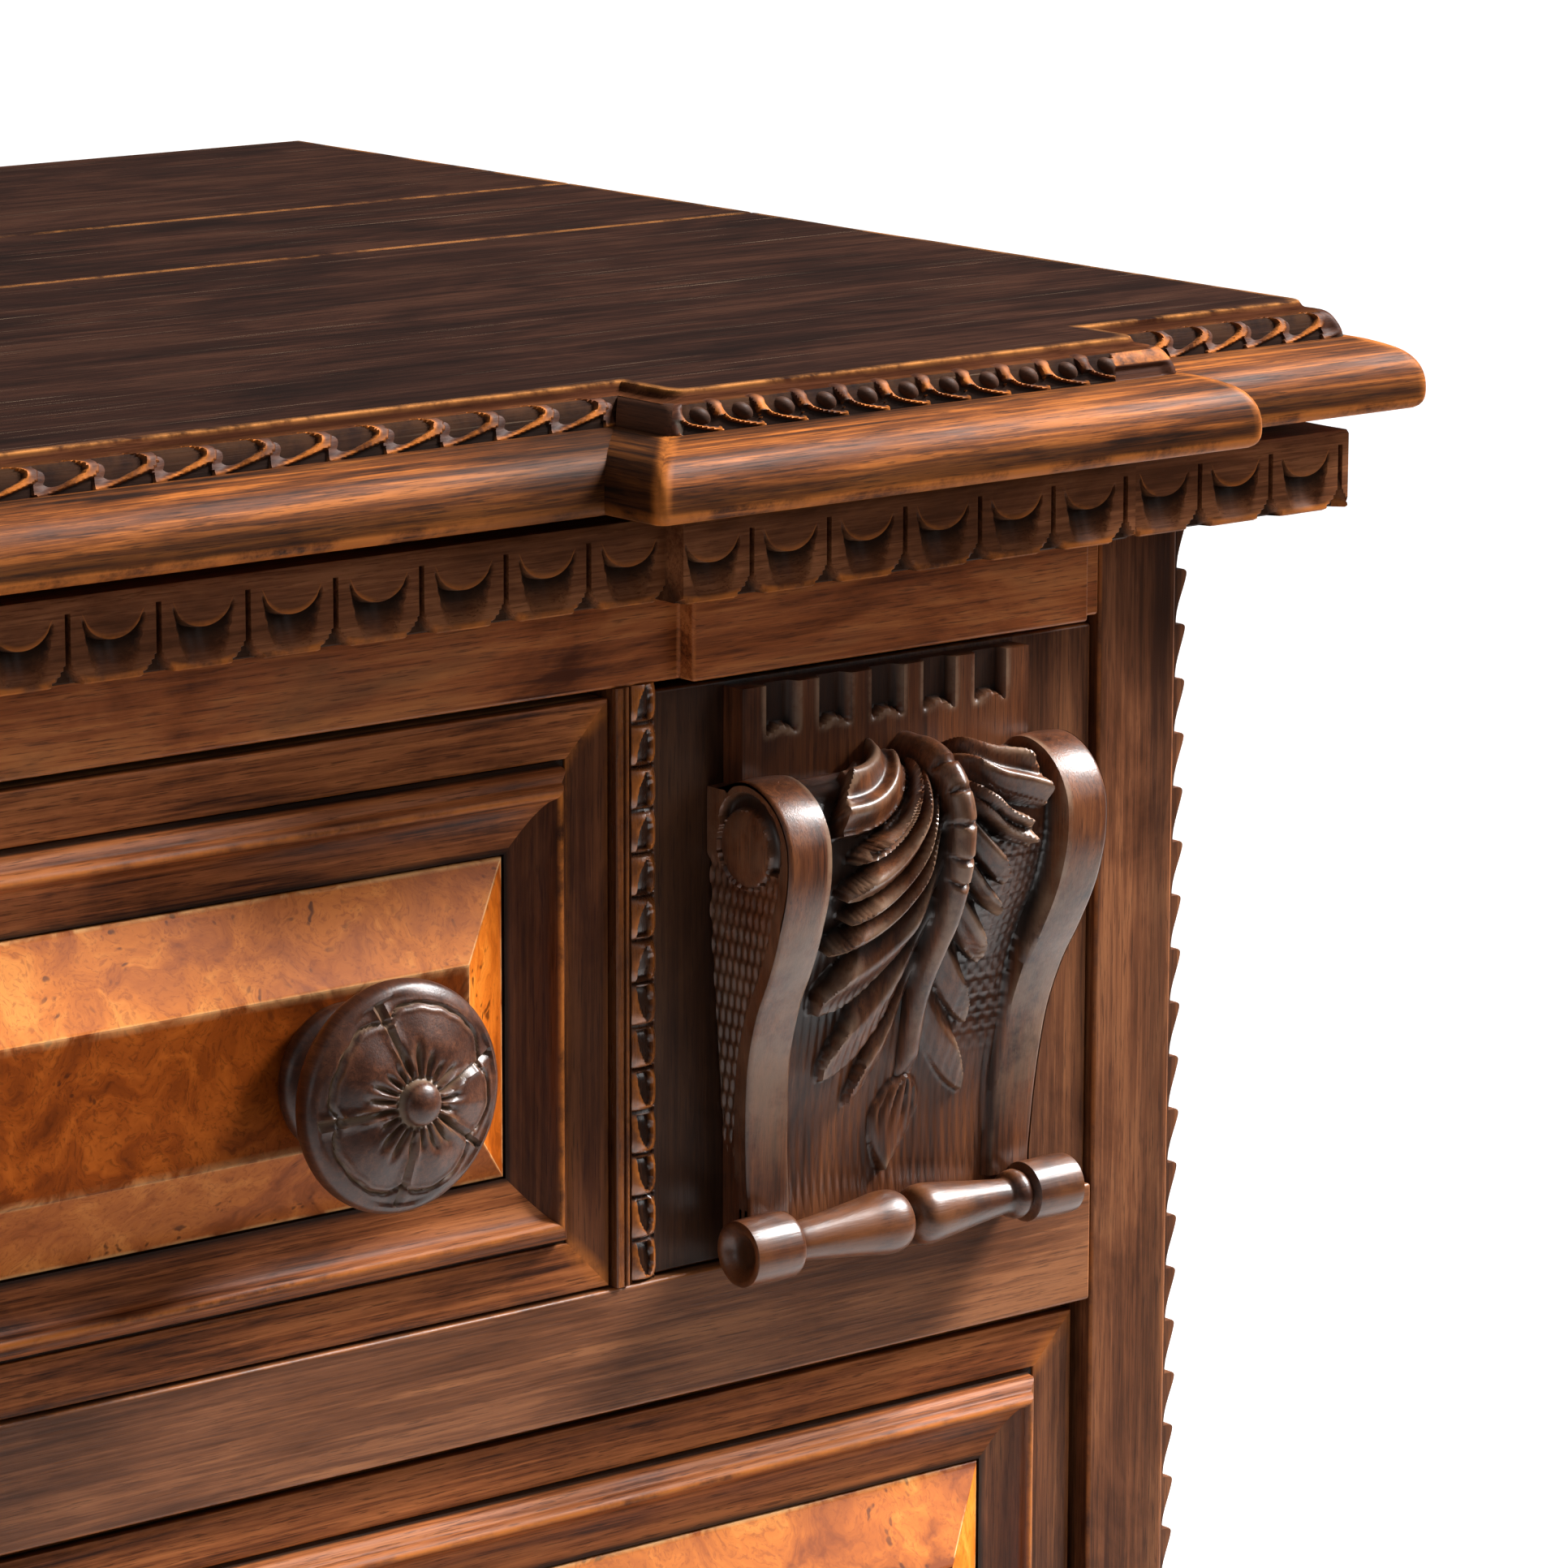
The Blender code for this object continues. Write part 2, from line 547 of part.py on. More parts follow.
def corbel_section(plate_front, plate_back, low, top):
    """Side view of a corbel: fluted plate, upper scroll, hollow waist and lower roll."""
    head = CORBEL_HEAD_RADIUS
    head_middle = (plate_front - CORBEL_HEAD_DEPTH + head, TOP_BASE + CORBEL_HEAD_HEIGHT)
    roll = CORBEL_ROLL_DIAMETER / 2
    roll_middle = (plate_front - roll, TOP_BASE + CORBEL_ROLL_HEIGHT)
    waist = plate_front - CORBEL_WAIST_DEPTH
    waist_top = head_middle[1] - CORBEL_WAIST_DROP
    start = math.degrees(math.acos(min(1.0, (plate_front - head_middle[0]) / head)))
    scroll = arc(head_middle, head, start, CORBEL_HEAD_END, CORBEL_ARC_STEPS)
    swing = [(waist + (scroll[-1][0] - waist) * s * s, waist_top + (scroll[-1][1] - waist_top) * s)
             for s in (2 / 3, 1 / 3, 0.0)]
    lower = arc(roll_middle, roll, *CORBEL_ROLL_ARC, CORBEL_ARC_STEPS)
    return ([(plate_back, top), (plate_front, top)] + scroll + swing
            + [(waist, lower[0][1] + roll)] + lower + [(plate_front, low), (plate_back, low)])


def make_corbel(name, middle, plate_front, plate_back, low, top, parent):
    """Carved corbel on its plate: two raised bands beside a hollow field, wider at the scroll."""
    bands = corbel_section(plate_front, plate_back, low, top)
    roll_top = TOP_BASE + CORBEL_ROLL_HEIGHT + CORBEL_ROLL_DIAMETER / 2
    head_low = TOP_BASE + CORBEL_HEAD_HEIGHT - CORBEL_HEAD_RADIUS
    head_high = TOP_BASE + CORBEL_HEAD_HEIGHT + CORBEL_HEAD_RADIUS

    def half_width(y, z):
        if y > plate_front - FIT:
            return CORBEL_PLATE_WIDTH / 2
        if z < roll_top:
            return CORBEL_ROLL_WIDTH / 2
        share = min(1.0, max(0.0, (z - roll_top) / (head_low - roll_top)))
        return (CORBEL_PLATE_WIDTH + share * (CORBEL_HEAD_WIDTH - CORBEL_PLATE_WIDTH)) / 2

    def field_depth(y, z):
        if roll_top < z < head_high and y < plate_front - FIT:
            return min(plate_front - FIT, y + CORBEL_BAND_HEIGHT)
        return y

    slope_foot = CORBEL_BAND_WIDTH + CORBEL_BAND_SLOPE
    rings = []
    for sign, inwards, hollow in ((-1, 0.0, False), (-1, CORBEL_BAND_WIDTH, False), (-1, slope_foot, True),
                                  (1, slope_foot, True), (1, CORBEL_BAND_WIDTH, False), (1, 0.0, False)):
        ring = []
        for y, z in bands:
            across = middle + sign * (half_width(y, z) - inwards)
            ring.append((across, field_depth(y, z) if hollow else y, z))
        rings.append(ring)
    return loft(name, rings, False, WALNUT, parent)


def make_corner_drawer(side, sign, parent):
    """Small drawer behind a corbel, between a partition and a side of the chest."""
    prefix = f"corner_drawer_{side}"
    low = TOP_BASE + GAP_BELOW
    top = FASCIA_BASE - GAP_ABOVE_TOP
    face = FACE_RECESS_CORNER
    near = HALF_INNER - PARTITION_BAY + SIDE_GAP_CORNER
    far = HALF_INNER - SIDE_GAP_CORNER
    home = empty(f"{prefix}_slide", (sign * (near + far) / 2, depth(face), low), parent)
    x = sorted((sign * near, sign * far))
    board(f"{prefix}_front", x, (depth(face), depth(face + FRONT_THICKNESS)), (low, top), WALNUT, home)
    plate_back = depth(face) - FIT
    plate_front = plate_back - CORBEL_PLATE_THICKNESS
    make_corbel(f"{prefix}_corbel", sign * (HALF_INNER - CORBEL_FROM_SIDE), plate_front, plate_back,
                low + CORBEL_PLATE_MARGIN, top - CORBEL_PLATE_MARGIN, home)
    box_base = TOP_BASE + FIT
    box_x = sorted((sign * (near + BOX_SIDE_GAP), sign * (far - BOX_SIDE_GAP)))
    make_box(prefix, box_x, face + FRONT_THICKNESS, box_base, top - BOX_HEAD_ROOM - box_base, home)


for old in list(bpy.data.objects):
    bpy.data.objects.remove(old, do_unlink=True)

PARTS = bpy.data.collections.new("chest_of_drawers")
CUTTERS = bpy.data.collections.new("cutters")
for group in (PARTS, CUTTERS):
    bpy.context.scene.collection.children.link(group)

WALNUT = material("walnut", (0.090, 0.034, 0.014), 0.38)
DARK_WALNUT = material("dark_walnut", (0.032, 0.017, 0.012), 0.32)
BURL = material("burl_walnut", (0.330, 0.130, 0.032), 0.34)
SECONDARY = material("secondary_wood", (0.240, 0.130, 0.060), 0.65)

CHEST = empty("chest", (0.0, 0.0, 0.0))
make_top(CHEST)
make_frieze(CHEST)
make_fascia(CHEST)
make_sides(CHEST)
make_inner_boards(CHEST)
make_partitions(CHEST)
make_plinth(CHEST)
make_feet(CHEST)
make_long_drawer("top_drawer", PARTITION_INNER - SIDE_GAP_TOP, FACE_RECESS_TOP, TOP_BASE, TOP_OPENING,
                 GAP_ABOVE_TOP, CHEST)
make_long_drawer("middle_drawer", HALF_INNER - SIDE_GAP_LONG, FACE_RECESS_LONG, MIDDLE_BASE, MIDDLE_OPENING,
                 GAP_ABOVE_LONG, CHEST)
make_long_drawer("lower_drawer", HALF_INNER - SIDE_GAP_LONG, FACE_RECESS_LONG, PLINTH_TOP, LOWER_OPENING,
                 GAP_ABOVE_LONG, CHEST)
for drawer_side, drawer_sign in (("left", -1), ("right", 1)):
    make_corner_drawer(drawer_side, drawer_sign, CHEST)
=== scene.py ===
"""Looks of the walnut chest of drawers: carved edges, corbels and knobs, burl panels and old wax.

Units are metres.  The chest's front faces -Y, and every piece rides on the body whose solids it dresses.
Carving is cut in meshes; each point also carries how rubbed and how dusty or dirty it is.  The same
values carry painted light: painted shade in hollows, in cuts, under overhangs and on faces turned from the
lamps, and a painted reflection and highlight on a few faces.
"""
import math

import bmesh
import bpy
import numpy as np
from mathutils import Matrix, Vector


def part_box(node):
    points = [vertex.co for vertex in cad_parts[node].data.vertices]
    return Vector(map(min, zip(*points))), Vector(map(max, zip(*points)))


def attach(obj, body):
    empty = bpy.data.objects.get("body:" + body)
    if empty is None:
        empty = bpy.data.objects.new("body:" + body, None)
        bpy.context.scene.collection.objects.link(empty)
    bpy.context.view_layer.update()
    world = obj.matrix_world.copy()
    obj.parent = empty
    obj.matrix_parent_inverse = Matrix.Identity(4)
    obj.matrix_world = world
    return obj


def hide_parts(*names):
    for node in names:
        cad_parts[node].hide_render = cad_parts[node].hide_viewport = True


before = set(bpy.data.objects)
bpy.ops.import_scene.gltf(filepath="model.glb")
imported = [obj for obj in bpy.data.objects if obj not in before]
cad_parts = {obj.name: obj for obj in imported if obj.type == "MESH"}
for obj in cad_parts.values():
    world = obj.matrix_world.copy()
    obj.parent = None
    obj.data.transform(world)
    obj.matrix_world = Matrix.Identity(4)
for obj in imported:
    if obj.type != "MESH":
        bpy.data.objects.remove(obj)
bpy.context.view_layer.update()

MM = 0.001
SIDES = (("left", -1), ("right", 1))
ROUND_TIP = 1 - math.sqrt(0.5)      # of a corner's radius, from its mitre's point to the arc

# Places read from the frame
SIDE_LOW, SIDE_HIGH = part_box("side_right")
FRONT = SIDE_LOW.y                  # front edges of the two sides
INNER = SIDE_LOW.x                  # inner face of the right side
TOP_LOW, TOP_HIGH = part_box("top_front_board")
TOP_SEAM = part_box("top_back_board")[0].y
TOP_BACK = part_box("top_back_board")[1].y
FRIEZE_LOW, FRIEZE_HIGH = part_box("frieze")
RAIL_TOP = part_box("rail_upper")[1].z

# Top: plan of its outer line
TOP_BLOCK_STEP = 0.0235
TOP_BLOCK_X = INNER - 0.101
TOP_BLOCK_HALF = 0.1085
TOP_END_Y = TOP_LOW.y + TOP_BLOCK_STEP
TOP_SECOND_SEAM = TOP_SEAM + 0.0955

# Frieze: plan of its outer line
FRIEZE_MIDDLE_Y = FRIEZE_LOW.y + 0.008
FRIEZE_END_Y = FRIEZE_LOW.y + 0.003
FRIEZE_BLOCK_X = INNER - 0.0905
FRIEZE_BLOCK_HALF = 0.082


# Numbers and small curves

def ease(value, low, high):
    """A smooth step from 0 at one value to 1 at another."""
    share = np.clip((value - low) / (high - low), 0.0, 1.0)
    return share * share * (3.0 - 2.0 * share)


def ease_mm(value, low, high):
    """The same between two values in millimetres."""
    return ease(value, low * MM, high * MM)


def dome(value):
    """Height of a round arch that stands from -1 to 1."""
    return np.sqrt(np.clip(1 - value ** 2, 0, 1))


def bell(value, width):
    return np.exp(-(value / width) ** 2)


def fraction(value):
    return value - np.floor(value)


def placed(x, y, z):
    """Points from their three coordinates, spread to one shape."""
    return np.stack(np.broadcast_arrays(x, y, z), axis=-1)


def waves(points, size, seed, octaves=3):
    """Smooth noise of about -1 to 1 with bumps of a given size, from seeded sines."""
    chance = np.random.default_rng(seed)
    total = np.zeros(points.shape[:-1])
    for octave in range(octaves):
        for _ in range(4):
            direction = chance.normal(size=points.shape[-1])
            direction *= 2 ** octave * 2 * math.pi / size / np.linalg.norm(direction)
            total += np.sin(points @ direction + chance.uniform(0, 2 * math.pi)) / 2 ** octave
    return total / 4


# Unevenness of faces worked by hand: its height, the size of its bumps and its seed
UNEVEN = {"arris": (0.12 * MM, 90 * MM, 3), "frieze": (0.10 * MM, 14 * MM, 5),
          "border": (0.06 * MM, 70 * MM, 8), "moulding": (0.10 * MM, 55 * MM, 9),
          "nosing": (0.18 * MM, 60 * MM, 11), "nosing_shade": (2.5 * MM, 150 * MM, 12),
          "teeth": (0.05, 40 * MM, 21)}     # of the teeth's reach


def uneven(points, kind):
    height, size, seed = UNEVEN[kind]
    return height * waves(points, size, seed)


def blurred(field, reach):
    """Box blur of a 2-D field, along both of its directions."""
    kernel = np.ones(2 * reach + 1) / (2 * reach + 1)
    for axis in (0, 1):
        padding = [(0, 0), (0, 0)]
        padding[axis] = (reach, reach)
        padded = np.pad(field, padding, mode="edge")
        field = np.apply_along_axis(np.convolve, axis, padded, kernel, mode="valid")
    return field


def marks(relief, reach, worn_and_lit, dark_depth):
    """Rubbed marks where a relief stands above its surroundings, and darkening where it lies below
    them, used for dirtiness and for painted shade.
    """
    rise = relief - blurred(relief, reach)
    return ease(rise, 0.15 * worn_and_lit, worn_and_lit), ease(-rise, 0.1 * dark_depth, dark_depth)


SPLINE_PARTS = 24       # between two points, before the line is divided evenly


def spline(points, steps):
    """A smooth line through points, evenly divided."""
    points = np.asarray(points, float)
    ends = np.vstack((2 * points[0] - points[1], points, 2 * points[-1] - points[-2]))
    fine = []
    for i in range(1, len(ends) - 2):
        before, start, end, after = ends[i - 1:i + 3]
        for share in np.linspace(0, 1, SPLINE_PARTS, endpoint=False):
            fine.append(0.5 * (2 * start + (end - before) * share
                               + (2 * before - 5 * start + 4 * end - after) * share ** 2
                               + (3 * start - before - 3 * end + after) * share ** 3))
    fine = np.array(fine + [points[-1]])
    travelled = np.concatenate(([0], np.cumsum(np.linalg.norm(np.diff(fine, axis=0), axis=1))))
    places = np.linspace(0, travelled[-1], steps)
    return np.stack([np.interp(places, travelled, fine[:, k]) for k in range(fine.shape[1])], axis=1)


def line_normals(line):
    """Left-hand normals of an open line."""
    run = np.gradient(line, axis=0)
    normal = np.stack((-run[:, 1], run[:, 0]), axis=1)
    return normal / np.linalg.norm(normal, axis=1, keepdims=True)


# Skins

def skin_volume(points, quads, caps):
    total = 0.0
    for corners in [quads] + [cap[None, :] for cap in caps]:
        first = points[corners[:, 0]]
        for i in range(1, corners.shape[1] - 1):
            total += np.sum(first * np.cross(points[corners[:, i]], points[corners[:, i + 1]]))
    return total


def spread(values, rows, columns):
    """Values for all points of some rings; 0 in the last columns where none are given."""
    values = np.atleast_2d(values)
    if 1 < values.shape[1] < columns:
        values = np.pad(values, ((0, 0), (0, columns - values.shape[1])))
    return np.broadcast_to(values, (rows, columns)).ravel()


class Skin:
    """Closed skins gathered into one piece."""

    def __init__(self):
        self.points = []
        self.quads = []
        self.caps = []
        self.wear_and_painted_light = []
        self.dirt_and_painted_shade = []
        self.quad_finish = []
        self.cap_finish = []
        self.total = 0

    def tube(self, rings, wear_and_painted_light=0.0, dirt_and_painted_shade=0.0, finish=0):
        """A skin through rings of points, closed round each ring and capped at both ends."""
        rows, columns = rings.shape[:2]
        row = np.arange(rows - 1)[:, None] * columns
        here = np.arange(columns)[None, :]
        after = (here + 1) % columns
        quads = np.stack((row + here, row + after, row + columns + after, row + columns + here), axis=-1)
        quads = quads.reshape(-1, 4)
        caps = [np.arange(columns)[::-1], (rows - 1) * columns + np.arange(columns)]
        points = rings.reshape(-1, 3)
        if skin_volume(points, quads, caps) < 0.0:
            quads = quads[:, ::-1]
            caps = [cap[::-1] for cap in caps]
        self.points.append(points)
        self.quads.append(quads + self.total)
        self.caps += [(cap + self.total).tolist() for cap in caps]
        self.wear_and_painted_light.append(spread(wear_and_painted_light, rows, columns))
        self.dirt_and_painted_shade.append(spread(dirt_and_painted_shade, rows, columns))
        finishes = spread(finish, rows - 1, columns).tolist()
        self.quad_finish += finishes
        self.cap_finish += [finishes[0], finishes[-1]]
        self.total += len(points)
        return self

    def piece(self, name, body, nodes, slot, finishes, smooth=40.0):
        """The finished object, riding on a body and standing for its nodes."""
        mesh = bpy.data.meshes.new(name)
        faces = np.concatenate(self.quads).tolist() + self.caps
        mesh.from_pydata(np.concatenate(self.points), [], faces)
        for label, values in (("wear_and_painted_light", self.wear_and_painted_light), ("dirt_and_painted_shade", self.dirt_and_painted_shade)):
            layer = mesh.attributes.new(label, "FLOAT", "POINT")
            layer.data.foreach_set("value", np.concatenate(values).astype(np.float32))
        mesh.polygons.foreach_set("material_index", self.quad_finish + self.cap_finish)
        mesh.shade_smooth()
        mesh.set_sharp_from_angle(angle=math.radians(smooth))
        return dress(bpy.data.objects.new(name, mesh), body, nodes, finishes)


def dress(piece, body, nodes, finishes):
    bpy.context.scene.collection.objects.link(piece)
    for finish in finishes:
        piece.data.materials.append(finish)
    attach(piece, body)
    if nodes:
        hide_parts(*nodes)
    return piece


WELD = 0.01 * MM                  # points of a board nearer than this become one
FLAT_ANGLE = math.radians(1)      # faces of a board that turn less become one
SHARP_ANGLE = math.radians(20)    # edges of a board that turn more are rounded
EDGE_SEGMENTS = 3
EDGE_WEAR = 0.45


def worn_board(node, body, finish, edge, cuts=(), grime_and_painted_shade=None):
    """A board of the frame with its arrises rounded and rubbed.

    It is divided at some places along X, and a function of X can set its darkening there: dirtiness, and
    painted shade.
    """
    shape = bmesh.new()
    shape.from_mesh(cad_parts[node].data)
    bmesh.ops.remove_doubles(shape, verts=shape.verts, dist=WELD)
    bmesh.ops.dissolve_limit(shape, angle_limit=FLAT_ANGLE, verts=shape.verts, edges=shape.edges)
    for place in cuts:
        bmesh.ops.bisect_plane(shape, geom=shape.verts[:] + shape.edges[:] + shape.faces[:],
                               plane_co=(place, 0, 0), plane_no=(1, 0, 0))
    sharp = [e for e in shape.edges if e.is_manifold and e.calc_face_angle() > SHARP_ANGLE]
    made = bmesh.ops.bevel(shape, geom=sharp, offset=edge, segments=EDGE_SEGMENTS, profile=0.5,
                           affect="EDGES", clamp_overlap=True)
    rounded = set(made["faces"])
    wear_and_painted_light = shape.verts.layers.float.new("wear_and_painted_light")
    for point in shape.verts:
        point[wear_and_painted_light] = EDGE_WEAR if all(face in rounded for face in point.link_faces) else 0.0
    if grime_and_painted_shade:
        dirt_and_painted_shade = shape.verts.layers.float.new("dirt_and_painted_shade")
        for point in shape.verts:
            point[dirt_and_painted_shade] = grime_and_painted_shade(point.co.x)
    mesh = bpy.data.meshes.new(f"{node}_worn")
    shape.to_mesh(mesh)
    shape.free()
    mesh.shade_smooth()
    piece = dress(bpy.data.objects.new(f"{node}_worn", mesh), body, [node], [finish])
    piece.modifiers.new("flat_faces", "WEIGHTED_NORMAL")
    return piece


CORNER_STEPS = np.array((0.08, 0.2, 0.36, 0.55, 0.8, 1.3, 2.0))      # of a corner's radius


def even_shares(run, step, radius=0.0):
    """Shares along a run, from 0 to 1, about a step apart and closer at rounded ends."""
    length = math.dist(run[0], run[1])
    shares = np.linspace(0, 1, max(2, math.ceil(length / step) + 1))
    close = CORNER_STEPS * radius / length
    return np.unique(np.concatenate((shares, close, 1 - close)))


def corner_cut(away, radius):
    """How far a rounded corner lies behind its mitre, at a distance from the mitre's point."""
    near = np.clip(1 - away / max(radius, 1e-9), 0, 1)
    return radius * (1 - np.sqrt(1 - near ** 2))


def sweep(run, profile, shares, radius=0.0):
    """Rings of a moulding along a straight run.

    A run is (start, end, outward, turn at start, turn at end); a turn is 1 at an outer mitre, -1 at an
    inner one and 0 at a square end.  Profile rows are inset from the run's outer line, and height.
    Outer mitres are rounded to a radius.
    """
    start, end, outward, turn_start, turn_end = run
    start = np.array(start, float)
    along = np.array(end, float) - start
    length = np.linalg.norm(along)
    along /= length
    inset = profile[:, 0]
    tip = radius * ROUND_TIP
    first = turn_start * inset + tip * (turn_start == 1)
    last = length - turn_end * inset - tip * (turn_end == 1)
    distance = first + (last - first) * shares[:, None]
    behind = inset + corner_cut(distance - inset, radius * (turn_start == 1))
    behind = behind + corner_cut(length - inset - distance, radius * (turn_end == 1))
    plan = start + along * distance[..., None] - np.array(outward, float) * behind[..., None]
    height = np.broadcast_to(profile[:, 1], distance.shape)
    return np.concatenate((plan, height[..., None]), axis=-1)


def mirrored(run):
    """The same run on the other half of the chest."""
    start, end, outward, turn_start, turn_end = run
    return ((-start[0], start[1]), (-end[0], end[1]), (-outward[0], outward[1]), turn_start, turn_end)


# Materials

def srgb(red, green, blue):
    """A colour as the eye reads it, 0 to 255, turned into light levels."""
    shares = [value / 255 for value in (red, green, blue)]
    return tuple(s / 12.92 if s < 0.04045 else ((s + 0.055) / 1.055) ** 2.4 for s in shares) + (1.0,)


COAT_ROUGHNESS = 0.18


class Finish:
    """A material being wired, with short calls for its nodes."""

    def __init__(self, name):
        self.made = bpy.data.materials.new(name)
        self.made.use_nodes = True
        self.tree = self.made.node_tree
        self.shader = self.tree.nodes["Principled BSDF"]
        self.place = self.node("ShaderNodeTexCoord").outputs["Object"]

    def put(self, socket, value):
        if isinstance(value, bpy.types.NodeSocket):
            self.tree.links.new(value, socket)
        else:
            socket.default_value = value

    def node(self, kind, inputs=(), **settings):
        made = self.tree.nodes.new(kind)
        for name, value in settings.items():
            setattr(made, name, value)
        for key, value in dict(inputs).items():
            self.put(made.inputs[key], value)
        return made

    def noise(self, scale, detail=4.0, rough=0.55, bend=0.0, place=None):
        """Noise in 0 to 1; the scale gives its bumps per metre along X, Y and Z."""
        scaled = self.node("ShaderNodeMapping", {"Vector": place or self.place, "Scale": scale})
        made = self.node("ShaderNodeTexNoise", {"Vector": scaled.outputs[0], "Scale": 1.0, "Detail": detail,
                                                "Roughness": rough, "Distortion": bend})
        return made.outputs["Fac"]

    def value(self, name):
        return self.node("ShaderNodeAttribute", attribute_name=name).outputs["Fac"]

    def maths(self, operation, first, second=0.0, clamp=False):
        made = self.node("ShaderNodeMath", {0: first, 1: second}, operation=operation, use_clamp=clamp)
        return made.outputs[0]

    def span(self, value, low, high, new_low=0.0, new_high=1.0):
        """A value moved from one range to another, smoothly and within it."""
        made = self.node("ShaderNodeMapRange", {"Value": value, "From Min": low, "From Max": high,
                                                "To Min": new_low, "To Max": new_high},
                         interpolation_type="SMOOTHSTEP")
        return made.outputs["Result"]

    def blend(self, *terms):
        """Sum of values, each times its share."""
        total, *parts = [self.maths("MULTIPLY", value, share) for value, share in terms]
        for part in parts:
            total = self.maths("ADD", total, part)
        return total

    def vector(self, operation, inputs):
        return self.node("ShaderNodeVectorMath", inputs, operation=operation).outputs[0]

    def mix(self, factor, first, second):
        made = self.node("ShaderNodeMix", {0: factor, 6: first, 7: second}, data_type="RGBA")
        return made.outputs[2]

    def age(self, colour, patches, worn_and_lit, dust, most):
        """A colour rubbed through in patches where the skin is rubbed, and under a dusty tone where it is
        dirty; the same two values also paint light and paint shade onto some faces.
        """
        rubbed = self.maths("MULTIPLY", self.value("wear_and_painted_light"), patches, clamp=True)
        grime_and_painted_shade = self.maths("MULTIPLY", self.value("dirt_and_painted_shade"), most, clamp=True)
        return self.mix(grime_and_painted_shade, self.mix(rubbed, colour, worn_and_lit), dust)

    def ramp(self, value, *stops):
        made = self.node("ShaderNodeValToRGB", {"Fac": value})
        stretch = made.color_ramp.elements
        while len(stretch) < len(stops):
            stretch.new(1.0)
        for element, (position, colour) in zip(stretch, stops):
            element.position = position
            element.color = colour
        return made.outputs["Color"]

    def bump(self, height, distance, strength):
        made = self.node("ShaderNodeBump", {"Height": height, "Distance": distance, "Strength": strength})
        self.put(self.shader.inputs["Normal"], made.outputs["Normal"])

    def done(self, colour, roughness, shine=0.2, coat=0.0):
        for name, value in (("Base Color", colour), ("Roughness", roughness), ("Specular IOR Level", shine),
                            ("Coat Weight", coat), ("Coat Roughness", COAT_ROUGHNESS)):
            self.put(self.shader.inputs[name], value)
        return self.made


def grain_scale(axis, along, across):
    return tuple(along if name == axis else across for name in "XYZ")


WORN_WOOD = srgb(186, 108, 46)
# Dark tone of dirtiness, worm holes and blotches; also of the painted shade in hollows and under overhangs
OLD_DIRT_AND_SHADE = srgb(16, 11, 8)
GREY_DUST = srgb(116, 96, 78)
# Bumps per metre along the grain and across it
FINE_GRAIN = (15.0, 600.0)
BROAD_GRAIN = (3.0, 46.0)
CLOUD_GRAIN = (11.0, 26.0)
PORE_GRAIN = (90.0, 1900.0)
SCRAPE_GRAIN = (10.0, 1100.0)
# The same each way
WORM_HOLES = 15.0
WORN_PATCHES = (60.0, 60.0, 60.0)
WOOD_STOPS = (0.41, 0.5, 0.59)


def wood(name, axis, tones, rough=(0.3, 0.44), shine=0.28, worn_and_lit=WORN_WOOD, smudge=0.25,
         shares=(0.30, 0.28, 0.42), dust=OLD_DIRT_AND_SHADE, scratched=0.0, coat=0.0):
    """Old waxed wood with its grain along an axis, rubbed arrises, and dirtiness and painted shade in
    hollows.

    Shares weigh the fine grain, the broad grain and the clouds in its figure.
    """
    made = Finish(name)
    lines = made.noise(grain_scale(axis, *FINE_GRAIN), 6.0, 0.65, 0.6)
    broad = made.noise(grain_scale(axis, *BROAD_GRAIN), 5.0, 0.6, 1.6)
    clouds = made.noise(grain_scale(axis, *CLOUD_GRAIN), 6.0, 0.62, 0.8)
    pores = made.noise(grain_scale(axis, *PORE_GRAIN), 3.0, 0.6)
    figure = made.blend(*zip((lines, broad, clouds), shares))
    colour = made.ramp(figure, *zip(WOOD_STOPS, tones))
    colour = made.mix(made.span(clouds, 0.53, 0.74, 0.0, smudge), colour, OLD_DIRT_AND_SHADE)
    colour = made.mix(made.span(pores, 0.54, 0.66, 0.0, 0.65), colour, tones[0])
    if scratched:
        scrapes = made.noise(grain_scale(axis, *SCRAPE_GRAIN), 2.0, 0.5, 0.4)
        colour = made.mix(made.span(scrapes, 0.66, 0.76, 0.0, scratched), colour, GREY_DUST)
    holes = made.node("ShaderNodeTexVoronoi", {"Vector": made.place, "Scale": WORM_HOLES})
    colour = made.mix(made.span(holes.outputs["Distance"], 0.012, 0.02, 0.85, 0.0), colour, OLD_DIRT_AND_SHADE)
    patches = made.span(made.noise(WORN_PATCHES, 5.0, 0.7), 0.34, 0.62)
    colour = made.age(colour, patches, worn_and_lit, dust, 0.92)
    dull = made.span(made.blend((clouds, 1.0), (pores, 0.4)), 0.4, 0.95, *rough)
    made.bump(made.blend((lines, 0.5), (pores, 0.6)), 0.22 * MM, 0.4)
    return made.done(colour, dull, shine, coat)


def wood_both_ways(name, tones, *values, **settings):
    """A wood for lengths that run along X, and one for those along Y."""
    return [wood(f"{name}_{axis.lower()}", axis, tones, *values, **settings) for axis in "XY"]


BURL_WARP = 34.0         # bends of the burl per metre
BURL_PULL = 0.04         # how far they reach, in metres
BURL_EYES = 210.0
BURL_EYE_GROUPS = (30.0, 30.0, 30.0)
BURL_STOPS = (0.39, 0.46, 0.54, 0.62)
BURL_EYE = srgb(62, 26, 8)
# Pale tone of rubbed burl arrises, and of the highlight painted along the panels' mitres
BURL_WORN_AND_HIGHLIGHT = srgb(236, 188, 128)
BURL_DULL = (0.34, 0.46)
BURL_SHINE = 0.06


